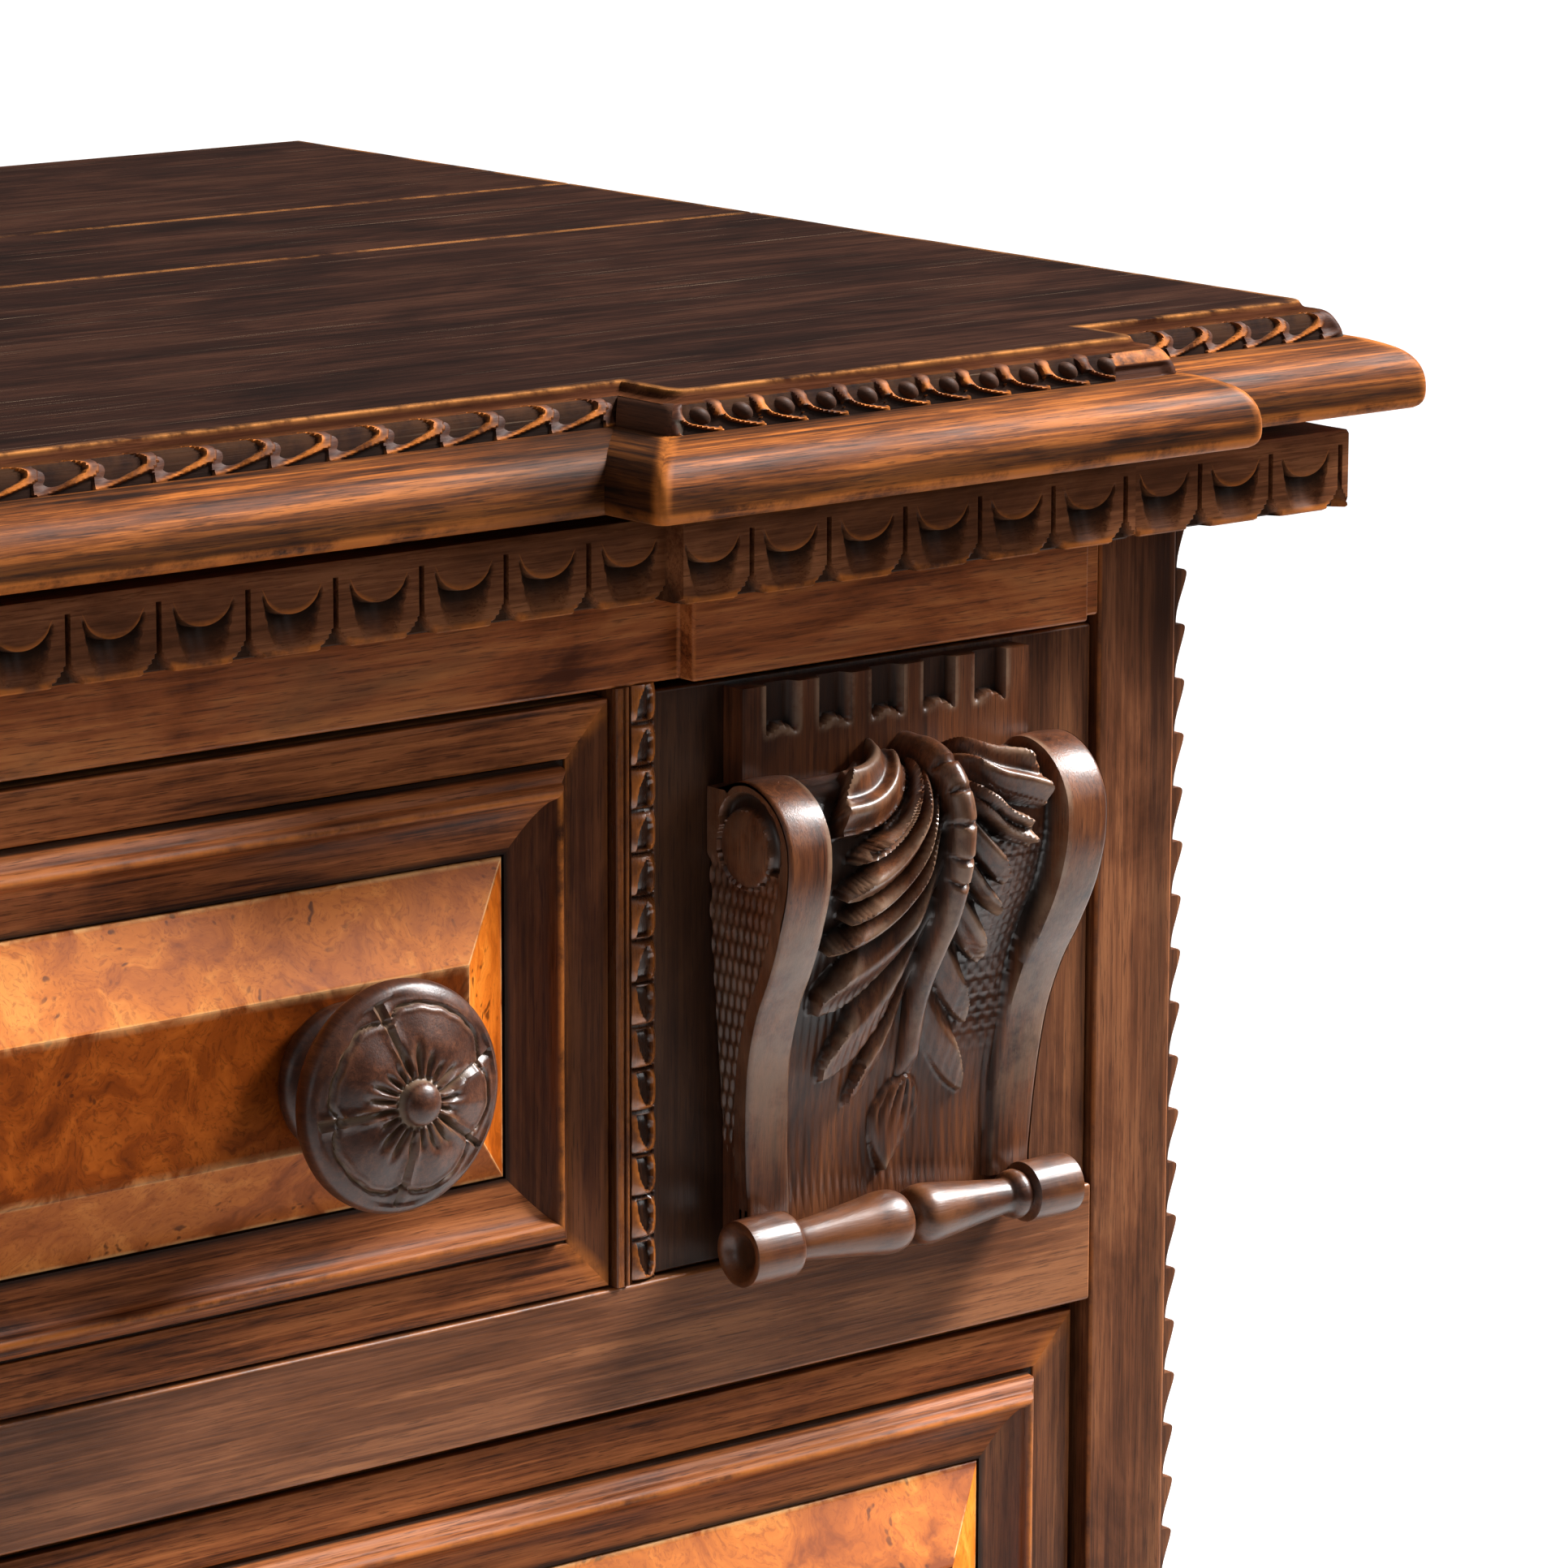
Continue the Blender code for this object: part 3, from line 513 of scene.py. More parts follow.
def burl_wood(name, tones, along=1.0):
    """Burl veneer: cloudy, with curls and small dark eyes; an along below 1 draws it out upright."""
    made = Finish(name)
    warp = made.node("ShaderNodeTexNoise", {"Vector": made.place, "Scale": BURL_WARP, "Detail": 4.0})
    pull = made.vector("SUBTRACT", {0: warp.outputs["Color"], 1: (0.5, 0.5, 0.5)})
    pull = made.vector("SCALE", {0: pull, "Scale": BURL_PULL})
    bent = made.vector("ADD", {0: made.place, 1: pull})
    curls = made.noise((48.0 / along, 48.0, 62.0 * along), 7.0, 0.58, 1.0, bent)
    clouds = made.noise((9.0 / along, 9.0, 16.0 * along), 4.0, 0.6, 0.6, bent)
    fine = made.noise((650.0, 650.0, 650.0 * along), 3.0, 0.6, 0.4, bent)
    eyes = made.node("ShaderNodeTexVoronoi", {"Vector": bent, "Scale": BURL_EYES, "Randomness": 1.0})
    groups = made.span(made.noise(BURL_EYE_GROUPS, 3.0, 0.6), 0.48, 0.62)
    spot = made.maths("MULTIPLY", made.span(eyes.outputs["Distance"], 0.12, 0.3, 1.0, 0.0), groups)
    colour = made.ramp(made.blend((curls, 0.45), (clouds, 0.55)), *zip(BURL_STOPS, tones))
    colour = made.mix(made.span(fine, 0.48, 0.68, 0.0, 0.5), colour, tones[0])
    colour = made.mix(made.maths("MULTIPLY", spot, 0.8), colour, BURL_EYE)
    colour = made.age(colour, made.span(curls, 0.35, 0.6), BURL_WORN_AND_HIGHLIGHT, OLD_DIRT_AND_SHADE, 0.85)
    made.bump(made.blend((curls, 1.0), (fine, 0.3)), 0.2 * MM, 0.2)
    return made.done(colour, made.span(clouds, 0.3, 0.7, *BURL_DULL), BURL_SHINE)


# Tones from dark to light
WALNUT_TONES = (srgb(58, 30, 15), srgb(102, 60, 36), srgb(140, 89, 56))
RAIL_TONES = (srgb(74, 42, 24), srgb(108, 65, 40), srgb(142, 91, 58))
STREAKED_TONES = (srgb(52, 25, 13), srgb(124, 69, 37), srgb(168, 101, 57))
TOP_TONES = (srgb(20, 9, 6), srgb(36, 19, 13), srgb(56, 33, 23))
DARK_TONES = (srgb(40, 19, 11), srgb(62, 33, 20), srgb(90, 52, 33))
SHADED_TONES = (srgb(40, 18, 9), srgb(70, 37, 20), srgb(96, 55, 31))
RED_TONES = (srgb(72, 32, 12), srgb(142, 76, 36), srgb(184, 112, 60))
ORANGE_TONES = (srgb(30, 14, 7), srgb(97, 51, 20), srgb(160, 92, 38))
CARVED_TONES = (srgb(44, 22, 12), srgb(86, 47, 26), srgb(118, 69, 39))
PALE_TONES = (srgb(112, 76, 46), srgb(150, 108, 68), srgb(178, 136, 92))
GOLD_TONES = (srgb(118, 54, 13), srgb(156, 80, 22), srgb(182, 100, 30), srgb(202, 124, 48))
PALE_GOLD_TONES = (srgb(122, 60, 22), srgb(154, 82, 34), srgb(176, 100, 44), srgb(194, 118, 58))
STRAIGHT_TONES = (srgb(150, 68, 15), srgb(190, 94, 24), srgb(212, 114, 34), srgb(226, 134, 50))
AMBER_TONES = (srgb(64, 25, 5), srgb(92, 39, 8), srgb(116, 52, 12), srgb(142, 70, 20))
# Grey-brown of the dust in the carved band's scoops, and of the painted shade below their lips and deep in
# them
BAND_DUST_AND_SHADE = srgb(58, 50, 43)
# Painted shade of the frieze's slits, notches and hollows
FRIEZE_PAINTED_SHADE = srgb(36, 26, 20)
KNOB_DUST = srgb(112, 90, 70)
TOP_WORN = srgb(172, 112, 60)
KNOB_WORN = srgb(118, 78, 48)
# Pale tone of rubbed carving; also painted on the scroll bands' lower halves as a reflection of the pale
# floor, and over the scroll sides as light
CORBEL_WORN_AND_LIT = srgb(128, 99, 78)
ROLL_WORN = srgb(138, 82, 40)

WALNUT = wood("walnut_along_z", "Z", WALNUT_TONES)
# Painted shadow: darker walnut for the top drawer's upright lengths
SHADED = wood("walnut_shaded", "Z", SHADED_TONES, shine=0.12)
STREAKED = wood("walnut_streaked", "X", STREAKED_TONES, (0.38, 0.52), 0.1, shares=(0.40, 0.28, 0.32))
RED_WALNUT = wood("walnut_red", "X", RED_TONES, smudge=0.65)
RAIL_WALNUT = wood("walnut_rail", "X", RAIL_TONES, smudge=0.1, shares=(0.42, 0.33, 0.25))
SIDE_WALNUT = wood("walnut_side", "Z", WALNUT_TONES, (0.36, 0.5), 0.18)
FOOT_WALNUT = wood("walnut_foot", "Z", WALNUT_TONES, (0.55, 0.7), 0.06)
SECONDARY = {axis: wood(f"secondary_along_{axis.lower()}", axis, PALE_TONES, (0.6, 0.8), 0.2)
             for axis in "XYZ"}
TOP_FINISH = wood("walnut_top", "X", TOP_TONES, (0.42, 0.55), 0.03, TOP_WORN, 0.4, scratched=0.5)
STEP_FINISH = wood("walnut_step", "X", DARK_TONES, (0.7, 0.85), 0.0, TOP_WORN)
FRIEZE_FINISH = wood_both_ways("walnut_frieze", RAIL_TONES, (0.42, 0.56), 0.06, dust=FRIEZE_PAINTED_SHADE)
BAND_FINISH = wood_both_ways("walnut_band", DARK_TONES, (0.45, 0.6), 0.06, dust=BAND_DUST_AND_SHADE)
NOSING_FINISH = wood_both_ways("walnut_nosing", ORANGE_TONES, (0.42, 0.6), 0.065, shares=(0.46, 0.26, 0.28))
CORBEL_FINISH = wood("carved_walnut", "Z", CARVED_TONES, (0.27, 0.4), 0.38, CORBEL_WORN_AND_LIT, 0.5, scratched=0.2)
ROLL_FINISH = wood("rolled_walnut", "X", DARK_TONES, (0.24, 0.36), 0.4, ROLL_WORN, 0.7)
KNOB_FINISH = wood("turned_walnut", "Y", DARK_TONES, (0.29, 0.42), 0.32, KNOB_WORN, dust=KNOB_DUST)
BEAD_FINISH = wood("beaded_walnut", "Z", CARVED_TONES, (0.2, 0.3), 0.45, coat=0.1)
# The upright bevels take brighter tones than the top bevel: painted light on the bevel turned to the lamps,
# on a grain drawn out upright
BURL_BEVEL = burl_wood("burl_veneer_bevel", GOLD_TONES)
BURL_FIELD = burl_wood("burl_veneer_field", AMBER_TONES)
BURL_STRAIGHT = burl_wood("burl_veneer_straight", STRAIGHT_TONES, 0.3)
BURL_LOW = burl_wood("burl_veneer_low", PALE_GOLD_TONES)


# Top

# Insets from the outer line and heights over the underside
BOARD_ROWS = np.array(((18.0, 0.0), (18.0, 20.0), (21.0, 28.0), (24.4, 28.7), (25.1, 29.3), (25.6, 30.2),
                       (25.85, 30.75), (26.3, 31.0), (29.0, 31.0))) * MM
BOARD_WEAR = np.array((0.0, 0.0, 0.1, 0.0, 0.0, 0.2, 1.0, 0.5, 0.0))
BOARD_DIRT = np.array((0.0, 0.6, 0.1, 0.3, 0.3, 0.1, 0.0, 0.0, 0.0))
BOARD_FACES = np.array((0, 0, 1, 1, 1, 1, 0, 0))      # finish of the faces between the rows
JOINT_ROWS = np.array((0.0, 0.0, 0.0, 0.0, 0.0, 0.0, 0.25, 1.1, 2.4)) * MM
JOINT_WEAR = 0.36
BOARD_GAP = 0.15 * MM
BOARD_SMOOTH = 30.0
BOARD_STEP = 8.0 * MM
ARRIS_ROWS = slice(5, 8)
BAND_LINE = np.array(((22.6, 28.2), (21.2, 28.0), (19.8, 26.9), (18.6, 25.0), (17.7, 22.9),
                      (17.2, 20.8))) * MM
BAND_BACK = np.array(((17.4, 20.0), (24.0, 20.0), (24.0, 27.4))) * MM
BAND_ROWS = 24
BAND_WIDTH = 9.0 * MM
NOSING_LINE = np.array(((17.2, 20.6), (15.0, 20.4), (12.0, 19.7), (8.0, 18.3), (5.0, 16.8), (2.8, 14.8),
                        (1.2, 12.2), (0.3, 9.2), (0.0, 6.0), (0.15, 3.2), (0.8, 1.4), (2.0, 0.3),
                        (3.4, 0.0))) * MM
NOSING_BACK = np.array(((18.5, 0.0), (18.5, 20.2))) * MM
NOSING_POINTS = 30
BAND_STEP = 0.7 * MM
NOSING_STEP = 12.0 * MM
ARRIS_ROUND = 5.0 * MM
ARRIS_SPOTS = np.array((0.4, 0.55, 0.75, 1.0)) * ARRIS_ROUND     # points of its curve, from the corner
ARRIS_CLEAR = 1.4 * ARRIS_ROUND
NOSING_ROUND = 3.0 * MM
NOSING_CORNER = 4.5 * MM      # reach of the rubbed outer corners
BAND_CORNER = 7.0 * MM        # reach of the plain outer corners
BAND_BLUR = 5

SCOOP_DEPTH = 3.2 * MM
SCOOP_GROUND = 1.7 * MM
SCOOP_RIM = 0.5 * MM
PEARL_RADIUS = 3.4 * MM
PEARL_SINK = 2.7 * MM
PEARL_HOLLOW = 2.5 * MM
PEARL_GROUND = 1.6 * MM
BAR_HEIGHT = 0.5 * MM
PLAIN_STEP = 1.0 * MM         # below the plain end of the pearled band
# Carved bands: distance of one tip from the middle of the chest, or from its back, and the pitch
CENTRE_SCOOPS = (0.3998, 0.01805)
END_SCOOPS = (0.6814, 0.0152)
SIDE_SCOOPS = (0.2374, 0.0165)
PEARL_BARS = (0.4193, 0.0145)
PEARL_END = 0.5775


def inset_plan(plan, insets):
    """Corners of a plan after each edge moves inwards; edge i runs from corner i to corner i + 1."""
    edge = np.roll(plan, -1, axis=0) - plan
    inward = np.stack((-edge[:, 1], edge[:, 0]), axis=1)
    inward *= (np.asarray(insets) / np.linalg.norm(edge, axis=1))[:, None]
    return plan + inward + np.roll(inward, 1, axis=0)


def outline(corners, counts, rounded):
    """Points round a plan of square corners, with some corners rounded."""
    points = []
    for i, count in enumerate(counts):
        after = (i + 1) % len(corners)
        run = corners[after] - corners[i]
        length = np.linalg.norm(run)
        run = run / length
        first = ROUND_TIP * ARRIS_ROUND * rounded[i]
        spots = np.linspace(ARRIS_CLEAR, length - ARRIS_CLEAR, count)
        spots = np.concatenate(((first,), ARRIS_SPOTS, spots, length - ARRIS_SPOTS[::-1]))
        behind = corner_cut(spots, ARRIS_ROUND * rounded[i])
        behind = behind + corner_cut(length - spots, ARRIS_ROUND * rounded[after])
        inward = np.array((-run[1], run[0]))
        points.append(corners[i] + spots[:, None] * run + behind[:, None] * inward)
    return np.concatenate(points)


def top_board(skin, plan, moulded, rounded):
    """A board of the top: arris, small step and ledge on the moulded edges of its plan."""
    lengths = np.linalg.norm(np.roll(plan, -1, axis=0) - plan, axis=1)
    counts = np.maximum(2, np.round(lengths / BOARD_STEP)).astype(int)
    edge = np.repeat(moulded, counts + 2 * len(ARRIS_SPOTS) + 1)
    rings = []
    wear_and_painted_light = []
    dirt_and_painted_shade = []
    for (inset, height), joint, rub, dust in zip(BOARD_ROWS, JOINT_ROWS, BOARD_WEAR, BOARD_DIRT):
        ring = outline(inset_plan(plan, np.where(moulded, inset, joint)), counts, rounded)
        level = np.full((len(ring), 1), TOP_LOW.z + height)
        rings.append(np.hstack((ring, level)))
        wear_and_painted_light.append(np.where(edge, rub, JOINT_WEAR * (rub > 0.4)))
        dirt_and_painted_shade.append(np.where(edge, dust, 0.0))
    rings = np.array(rings)
    rings[ARRIS_ROWS, :, 2] += uneven(rings[..., :2], "arris")[ARRIS_ROWS] * edge
    skin.tube(rings, np.array(wear_and_painted_light), np.array(dirt_and_painted_shade), BOARD_FACES[:, None])


def top_runs():
    """Straight lengths of the right half of the top's edge, from the back to the block's inner return."""
    left = TOP_BLOCK_X - TOP_BLOCK_HALF
    right = TOP_BLOCK_X + TOP_BLOCK_HALF
    half = TOP_HIGH.x
    return ((((half, TOP_BACK), (half, TOP_END_Y), (1, 0), 0, 1), "side"),
            (((half, TOP_END_Y), (right, TOP_END_Y), (0, -1), 1, -1), "end"),
            (((right, TOP_END_Y), (right, TOP_LOW.y), (1, 0), -1, 1), "return"),
            (((right, TOP_LOW.y), (left, TOP_LOW.y), (0, -1), 1, 1), "block"),
            (((left, TOP_LOW.y), (left, TOP_END_Y), (-1, 0), 1, -1), "return"))


def scoop_relief(place, up, anchor, pitch):
    """Gouge scoops one behind another, each deepening towards a raised rim at its far end; up is 0 to 1.

    Returns the relief, how dark its ground below the lips is, which is painted shade, and where it stands
    proud enough to be rubbed.
    """
    bow = 0.10 * ((np.clip(up, 0.35, 1.0) - 0.70) / 0.30) ** 2
    along = fraction((place - anchor) / pitch + bow)
    lip = 0.02 + 0.46 * along ** 1.2
    above = 2 * (up - lip) / (1.0 - lip) - 1
    beyond = np.clip((along - 0.42) / 0.38, 0, None)
    bowl = 1 - above ** 2 - beyond ** 2
    deep = SCOOP_DEPTH * (0.25 + 0.75 * ease(along, 0.0, 0.6))
    below = ease(lip - up, 0.07, 0.16)
    rim = SCOOP_RIM * bell(bowl, 0.3) * ease(along, 0.3, 0.8) * (1 - below)
    relief = np.where(bowl > 0, -deep * np.sqrt(np.clip(bowl, 0, 1)), -SCOOP_GROUND * below) + rim
    return relief, below, (bowl < 0.3) * (1 - below)


def pearl_relief(place, up, anchor, pitch):
    """Dark pearls between slanting bars; from each bar a thin lip sweeps down below the pearl."""
    along = fraction((place - anchor) / pitch - 0.24 * (0.95 - up))
    lip = 0.56 - 0.50 * np.sqrt(np.clip((along - 0.16) / 0.76, 0, 1))
    wide = 0.16 + 0.16 * ease(up, 0.4, 0.95)
    bar = (along < wide) & (up > 0.42)
    hollow = dome((up - 0.5 * (0.97 + lip)) / (0.5 * (0.97 - lip)))
    hollow = -PEARL_HOLLOW * hollow * ease(along, 0.21, 0.40) * ease(along, 1.0, 0.97)
    below = ease(lip - up, 0.06, 0.14)
    relief = np.where(up > lip, hollow, -PEARL_GROUND * below)
    relief = np.where(bar, BAR_HEIGHT * (1 - (2 * along / wide - 1) ** 2), relief)
    away = np.hypot((along - 0.70) * pitch, (up - 0.58) * BAND_WIDTH)
    pearl = (away < PEARL_RADIUS) & ~bar
    ball = np.sqrt(np.clip(PEARL_RADIUS ** 2 - away ** 2, 0, None)) - PEARL_SINK
    relief = np.where(pearl, np.maximum(relief, ball), relief)
    # Painted shade below the lips; the pearls are darkened too
    ground = np.maximum(below, 0.45 * pearl)
    end = (place < PEARL_BARS[0]) | (place > PEARL_END)
    plain = -PLAIN_STEP * ease(up, 0.45, 0.30)
    proud = np.where(end, 1.0, ~pearl * (1 - below))
    return np.where(end, plain, relief), np.where(end, 0.0, ground), proud


def band_relief(kind, rings, up):
    across = np.abs(rings[..., 0])
    if kind == "side":
        return scoop_relief(-rings[..., 1], up, *SIDE_SCOOPS)
    if kind == "end":
        return scoop_relief(across, up, *END_SCOOPS)
    if kind == "block":
        return pearl_relief(across, up, *PEARL_BARS)
    if kind == "middle":
        return scoop_relief(across, up, *CENTRE_SCOOPS)
    plain = np.zeros(rings.shape[:2])
    # The block's returns face sideways and take painted shade all over
    return plain, plain + 0.3, plain


def corner_nearness(run, shares, reach):
    """1 at the outer mitres of a run, falling to 0 within a reach."""
    length = math.dist(run[0], run[1])
    near = np.zeros(len(shares))
    for share, turn in ((shares, run[3]), (1 - shares, run[4])):
        near = np.maximum(near, ease(share * length, reach, 0.1 * reach) * (turn == 1))
    return near[:, None]


def carved_band(skin, run, kind):
    """A length of the carved band between the arris and the nosing."""
    line = spline(BAND_LINE, BAND_ROWS)
    normal = line_normals(line)
    normal *= -np.sign(normal[BAND_ROWS // 2, 0])
    shares = even_shares(run, BAND_STEP)
    rings = sweep(run, np.vstack((line, BAND_BACK)), shares, NOSING_ROUND)
    rings[..., 2] += TOP_LOW.z
    up = np.broadcast_to(np.linspace(1.12, 0.0, BAND_ROWS), rings[:, :BAND_ROWS].shape[:2])
    relief, ground, proud = band_relief(kind, rings[:, :BAND_ROWS], up)
    relief = relief * (1 - corner_nearness(run, shares, BAND_CORNER))
    rise = relief - blurred(relief, BAND_BLUR)
    plain = (kind == "block") * (np.abs(rings[:, :BAND_ROWS, 0]) > PEARL_END) * (up > 0.45)
    rubbed = 0.85 * ease_mm(rise, 0.3, 0.9) * proud
    wear_and_painted_light = np.maximum(rubbed, plain) * (up < 1.0)
    # Painted shade below the lips and on the returns; the hollows darken with depth, which is dust and
    # painted shade
    dirt_and_painted_shade = np.maximum(0.85 * ground, 0.75 * ease_mm(-relief, 0.8, 2.2))
    outward = np.array(run[2], float)
    rings[:, :BAND_ROWS, :2] += outward * (-normal[:, 0] * relief)[..., None]
    rings[:, :BAND_ROWS, 2] += normal[:, 1] * relief
    skin.tube(rings, wear_and_painted_light, dirt_and_painted_shade, finish=abs(run[2][0]))


def nosing(skin, run, kind):
    """A length of the thumb nosing, rubbed along its lower arris and at its outer corners, with painted
    shade on its lower face, on the block's returns and at the middle length's inner ends.
    """
    line = spline(NOSING_LINE, NOSING_POINTS)
    profile = np.vstack((line, NOSING_BACK))
    shares = even_shares(run, NOSING_STEP, NOSING_ROUND)
    rings = sweep(run, profile, shares, NOSING_ROUND)
    dents = uneven(rings, "nosing")
    dents[:, NOSING_POINTS:] = 0.0
    rings[..., :2] += np.array(run[2], float) * dents[..., None]
    rings[..., 2] += TOP_LOW.z
    height = profile[:, 1]
    corner = corner_nearness(run, shares, NOSING_CORNER)
    wear_and_painted_light = np.maximum(0.8 * ease_mm(height, 4.4, 2.4), 0.6 * corner)
    # Painted shade on the lower part of the nosing's face, with an uneven upper edge
    lower = ease_mm(height + uneven(rings, "nosing_shade"), 12.0, 7.0) * ease_mm(height, 2.6, 4.6)
    dirt_and_painted_shade = np.maximum(0.55 * ease_mm(height, 19.4, 20.2), 0.76 * lower)
    ends = np.minimum(shares, 1 - shares)[:, None] * math.dist(run[0], run[1])
    inner = (kind == "middle") * ease_mm(ends, 75, 8)
    # Painted shade on the block's returns, which face sideways, and at the middle length's ends beside the
    # blocks
    dirt_and_painted_shade = np.maximum(dirt_and_painted_shade, 0.75 * np.maximum(kind == "return", inner)) * (1 - 0.8 * corner)
    skin.tube(rings, wear_and_painted_light, dirt_and_painted_shade, finish=abs(run[2][0]))


def make_top():
    half = TOP_HIGH.x
    left = TOP_BLOCK_X - TOP_BLOCK_HALF
    right = TOP_BLOCK_X + TOP_BLOCK_HALF
    front = [(left, TOP_END_Y), (left, TOP_LOW.y), (right, TOP_LOW.y), (right, TOP_END_Y),
             (half, TOP_END_Y)]
    front = [(-x, y) for x, y in reversed(front)] + front
    outer = [y == TOP_LOW.y or abs(x) == half for x, y in front] + [False, False]
    seam = TOP_SEAM - BOARD_GAP
    plan = np.array(front + [(half, seam), (-half, seam)])
    boards = Skin()
    top_board(boards, plan, np.array([True] * len(front) + [False, True]), outer)
    boards.piece("top_front_board_worn", "chest", ["top_front_board"], "dark_walnut",
                 [TOP_FINISH, STEP_FINISH], BOARD_SMOOTH)
    boards = Skin()
    for low, high in ((TOP_SEAM, TOP_SECOND_SEAM - BOARD_GAP), (TOP_SECOND_SEAM + BOARD_GAP, TOP_BACK)):
        plan = np.array(((-half, low), (half, low), (half, high), (-half, high)))
        top_board(boards, plan, np.array((False, True, False, True)), [False] * 4)
    boards.piece("top_back_boards_worn", "chest", ["top_back_board"], "dark_walnut",
                 [TOP_FINISH, STEP_FINISH], BOARD_SMOOTH)
    band = Skin()
    edge = Skin()
    middle = ((left, TOP_END_Y), (-left, TOP_END_Y), (0, -1), -1, -1)
    runs = [(middle, "middle")]
    for run, kind in top_runs():
        runs += [(run, kind), (mirrored(run), kind)]
    for run, kind in runs:
        carved_band(band, run, kind)
        nosing(edge, run, kind)
    band.piece("top_carved_band", "chest", [], "dark_walnut", BAND_FINISH)
    edge.piece("top_nosing", "chest", [], "walnut", NOSING_FINISH)


make_top()


# Frieze

# Distance of one slit from the middle of the chest, or from its back, and the pitch of the units
FRIEZE_UNITS = {"middle": (0.4125, 0.0277), "block": (0.4622, 0.0273), "end": (0.6301, 0.0278),
                "side": (0.2240, 0.0277)}
SLIT_HALF = 0.8 * MM
SLIT_DEPTH = 4.0 * MM
SLIT_LOW = 5.0 * MM
SLIT_HIGH = 18.5 * MM
NOTCH_HEIGHT = 5.5 * MM
NOTCH_HALF = 5.2 * MM
NOTCH_DEPTH = 3.4 * MM
LIP_HALF = 9.0 * MM          # half of the chord of the hanging lip
LIP_LOW = 10.8 * MM
LIP_END = 18.2 * MM
LIP_EDGE = 0.12 * MM
HOLLOW_LOW = 1.2 * MM
HOLLOW_DEPTH = 5.0 * MM
HOLLOW_HALF = (3.8 * MM, 5.2 * MM, 14 * MM)   # half width at the foot, what it gains, and over which height
HOLLOW_RIDGE = 1.1 * MM
FRIEZE_ARRIS = 0.5 * MM
FRIEZE_BACK = 15.7 * MM       # behind the middle length's face
LIP_ROWS = np.linspace(0, 1, 15)[1:]
FACE_ROWS = np.linspace(0, 1, 8)[1:]


def frieze_stations(run, anchor, pitch):
    """Shares along a run for its cross sections: closer together beside the slits."""
    start, end = (np.array(corner, float) for corner in run[:2])
    length = np.linalg.norm(end - start)
    slit = SLIT_HALF / pitch
    pattern = np.concatenate(((0.0, slit * 0.9, slit * 1.1), np.linspace(slit * 1.9, 1 - slit * 1.9, 29),
                              (1 - slit * 1.1, 1 - slit * 0.9)))
    units = np.arange(-60, 60)[:, None]
    spots = (anchor + pitch * (units + pattern)).ravel()
    if abs(run[2][1]) > 0.5:
        spots = np.concatenate((spots[spots > 0], -spots[spots > 0]))
        shares = (spots - start[0]) / (end[0] - start[0])
    else:
        shares = (-spots - start[1]) / (end[1] - start[1])
    margin = 0.2 * MM / length
    shares = shares[(shares > margin) & (shares < 1 - margin)]
    return np.sort(np.concatenate(((0.0, margin, 1 - margin, 1.0), shares)))


def lip_height(off):
    return LIP_END - (LIP_END - LIP_LOW) * dome(off / LIP_HALF)


def frieze_relief(off, middle, height):
    """Relief of the carving, and how dark its cuts are: painted shade in the slits and notches and under
    the hanging lips.

    A point is given by its distances from the nearest slit and from its unit's middle, and its height.
    """
    slit = (np.abs(off) < SLIT_HALF) & (height > SLIT_LOW) & (height < SLIT_HIGH)
    share = np.clip((NOTCH_HEIGHT - height) / NOTCH_HEIGHT, 0, 1)
    reach = SLIT_HALF + (NOTCH_HALF - SLIT_HALF) * share ** 1.3
    notch = ease(np.abs(off), reach, reach - 0.7 * MM) * (height < NOTCH_HEIGHT)
    lip = lip_height(middle)
    rise = np.clip((height - HOLLOW_LOW) / (lip - HOLLOW_LOW), 0, 1.001)
    foot, gain, over = HOLLOW_HALF
    half = foot + gain * np.sqrt(np.clip((height - HOLLOW_LOW) / over, 0, 1))
    ridge = 1 - 0.12 * bell(middle, HOLLOW_RIDGE)
    hollow = np.where(rise < 1.0, HOLLOW_DEPTH * rise ** 0.7 * dome(middle / half) * ridge, 0.0)
    # Painted shade: slits and notches dark, and the hollow darkening up to its hanging lip
    dark = np.maximum(0.9 * np.maximum(slit, notch), ease(rise, 0.2, 0.8) * (hollow > 0.3 * MM))
    return -np.maximum(np.maximum(slit * SLIT_DEPTH, notch * NOTCH_DEPTH), hollow), dark


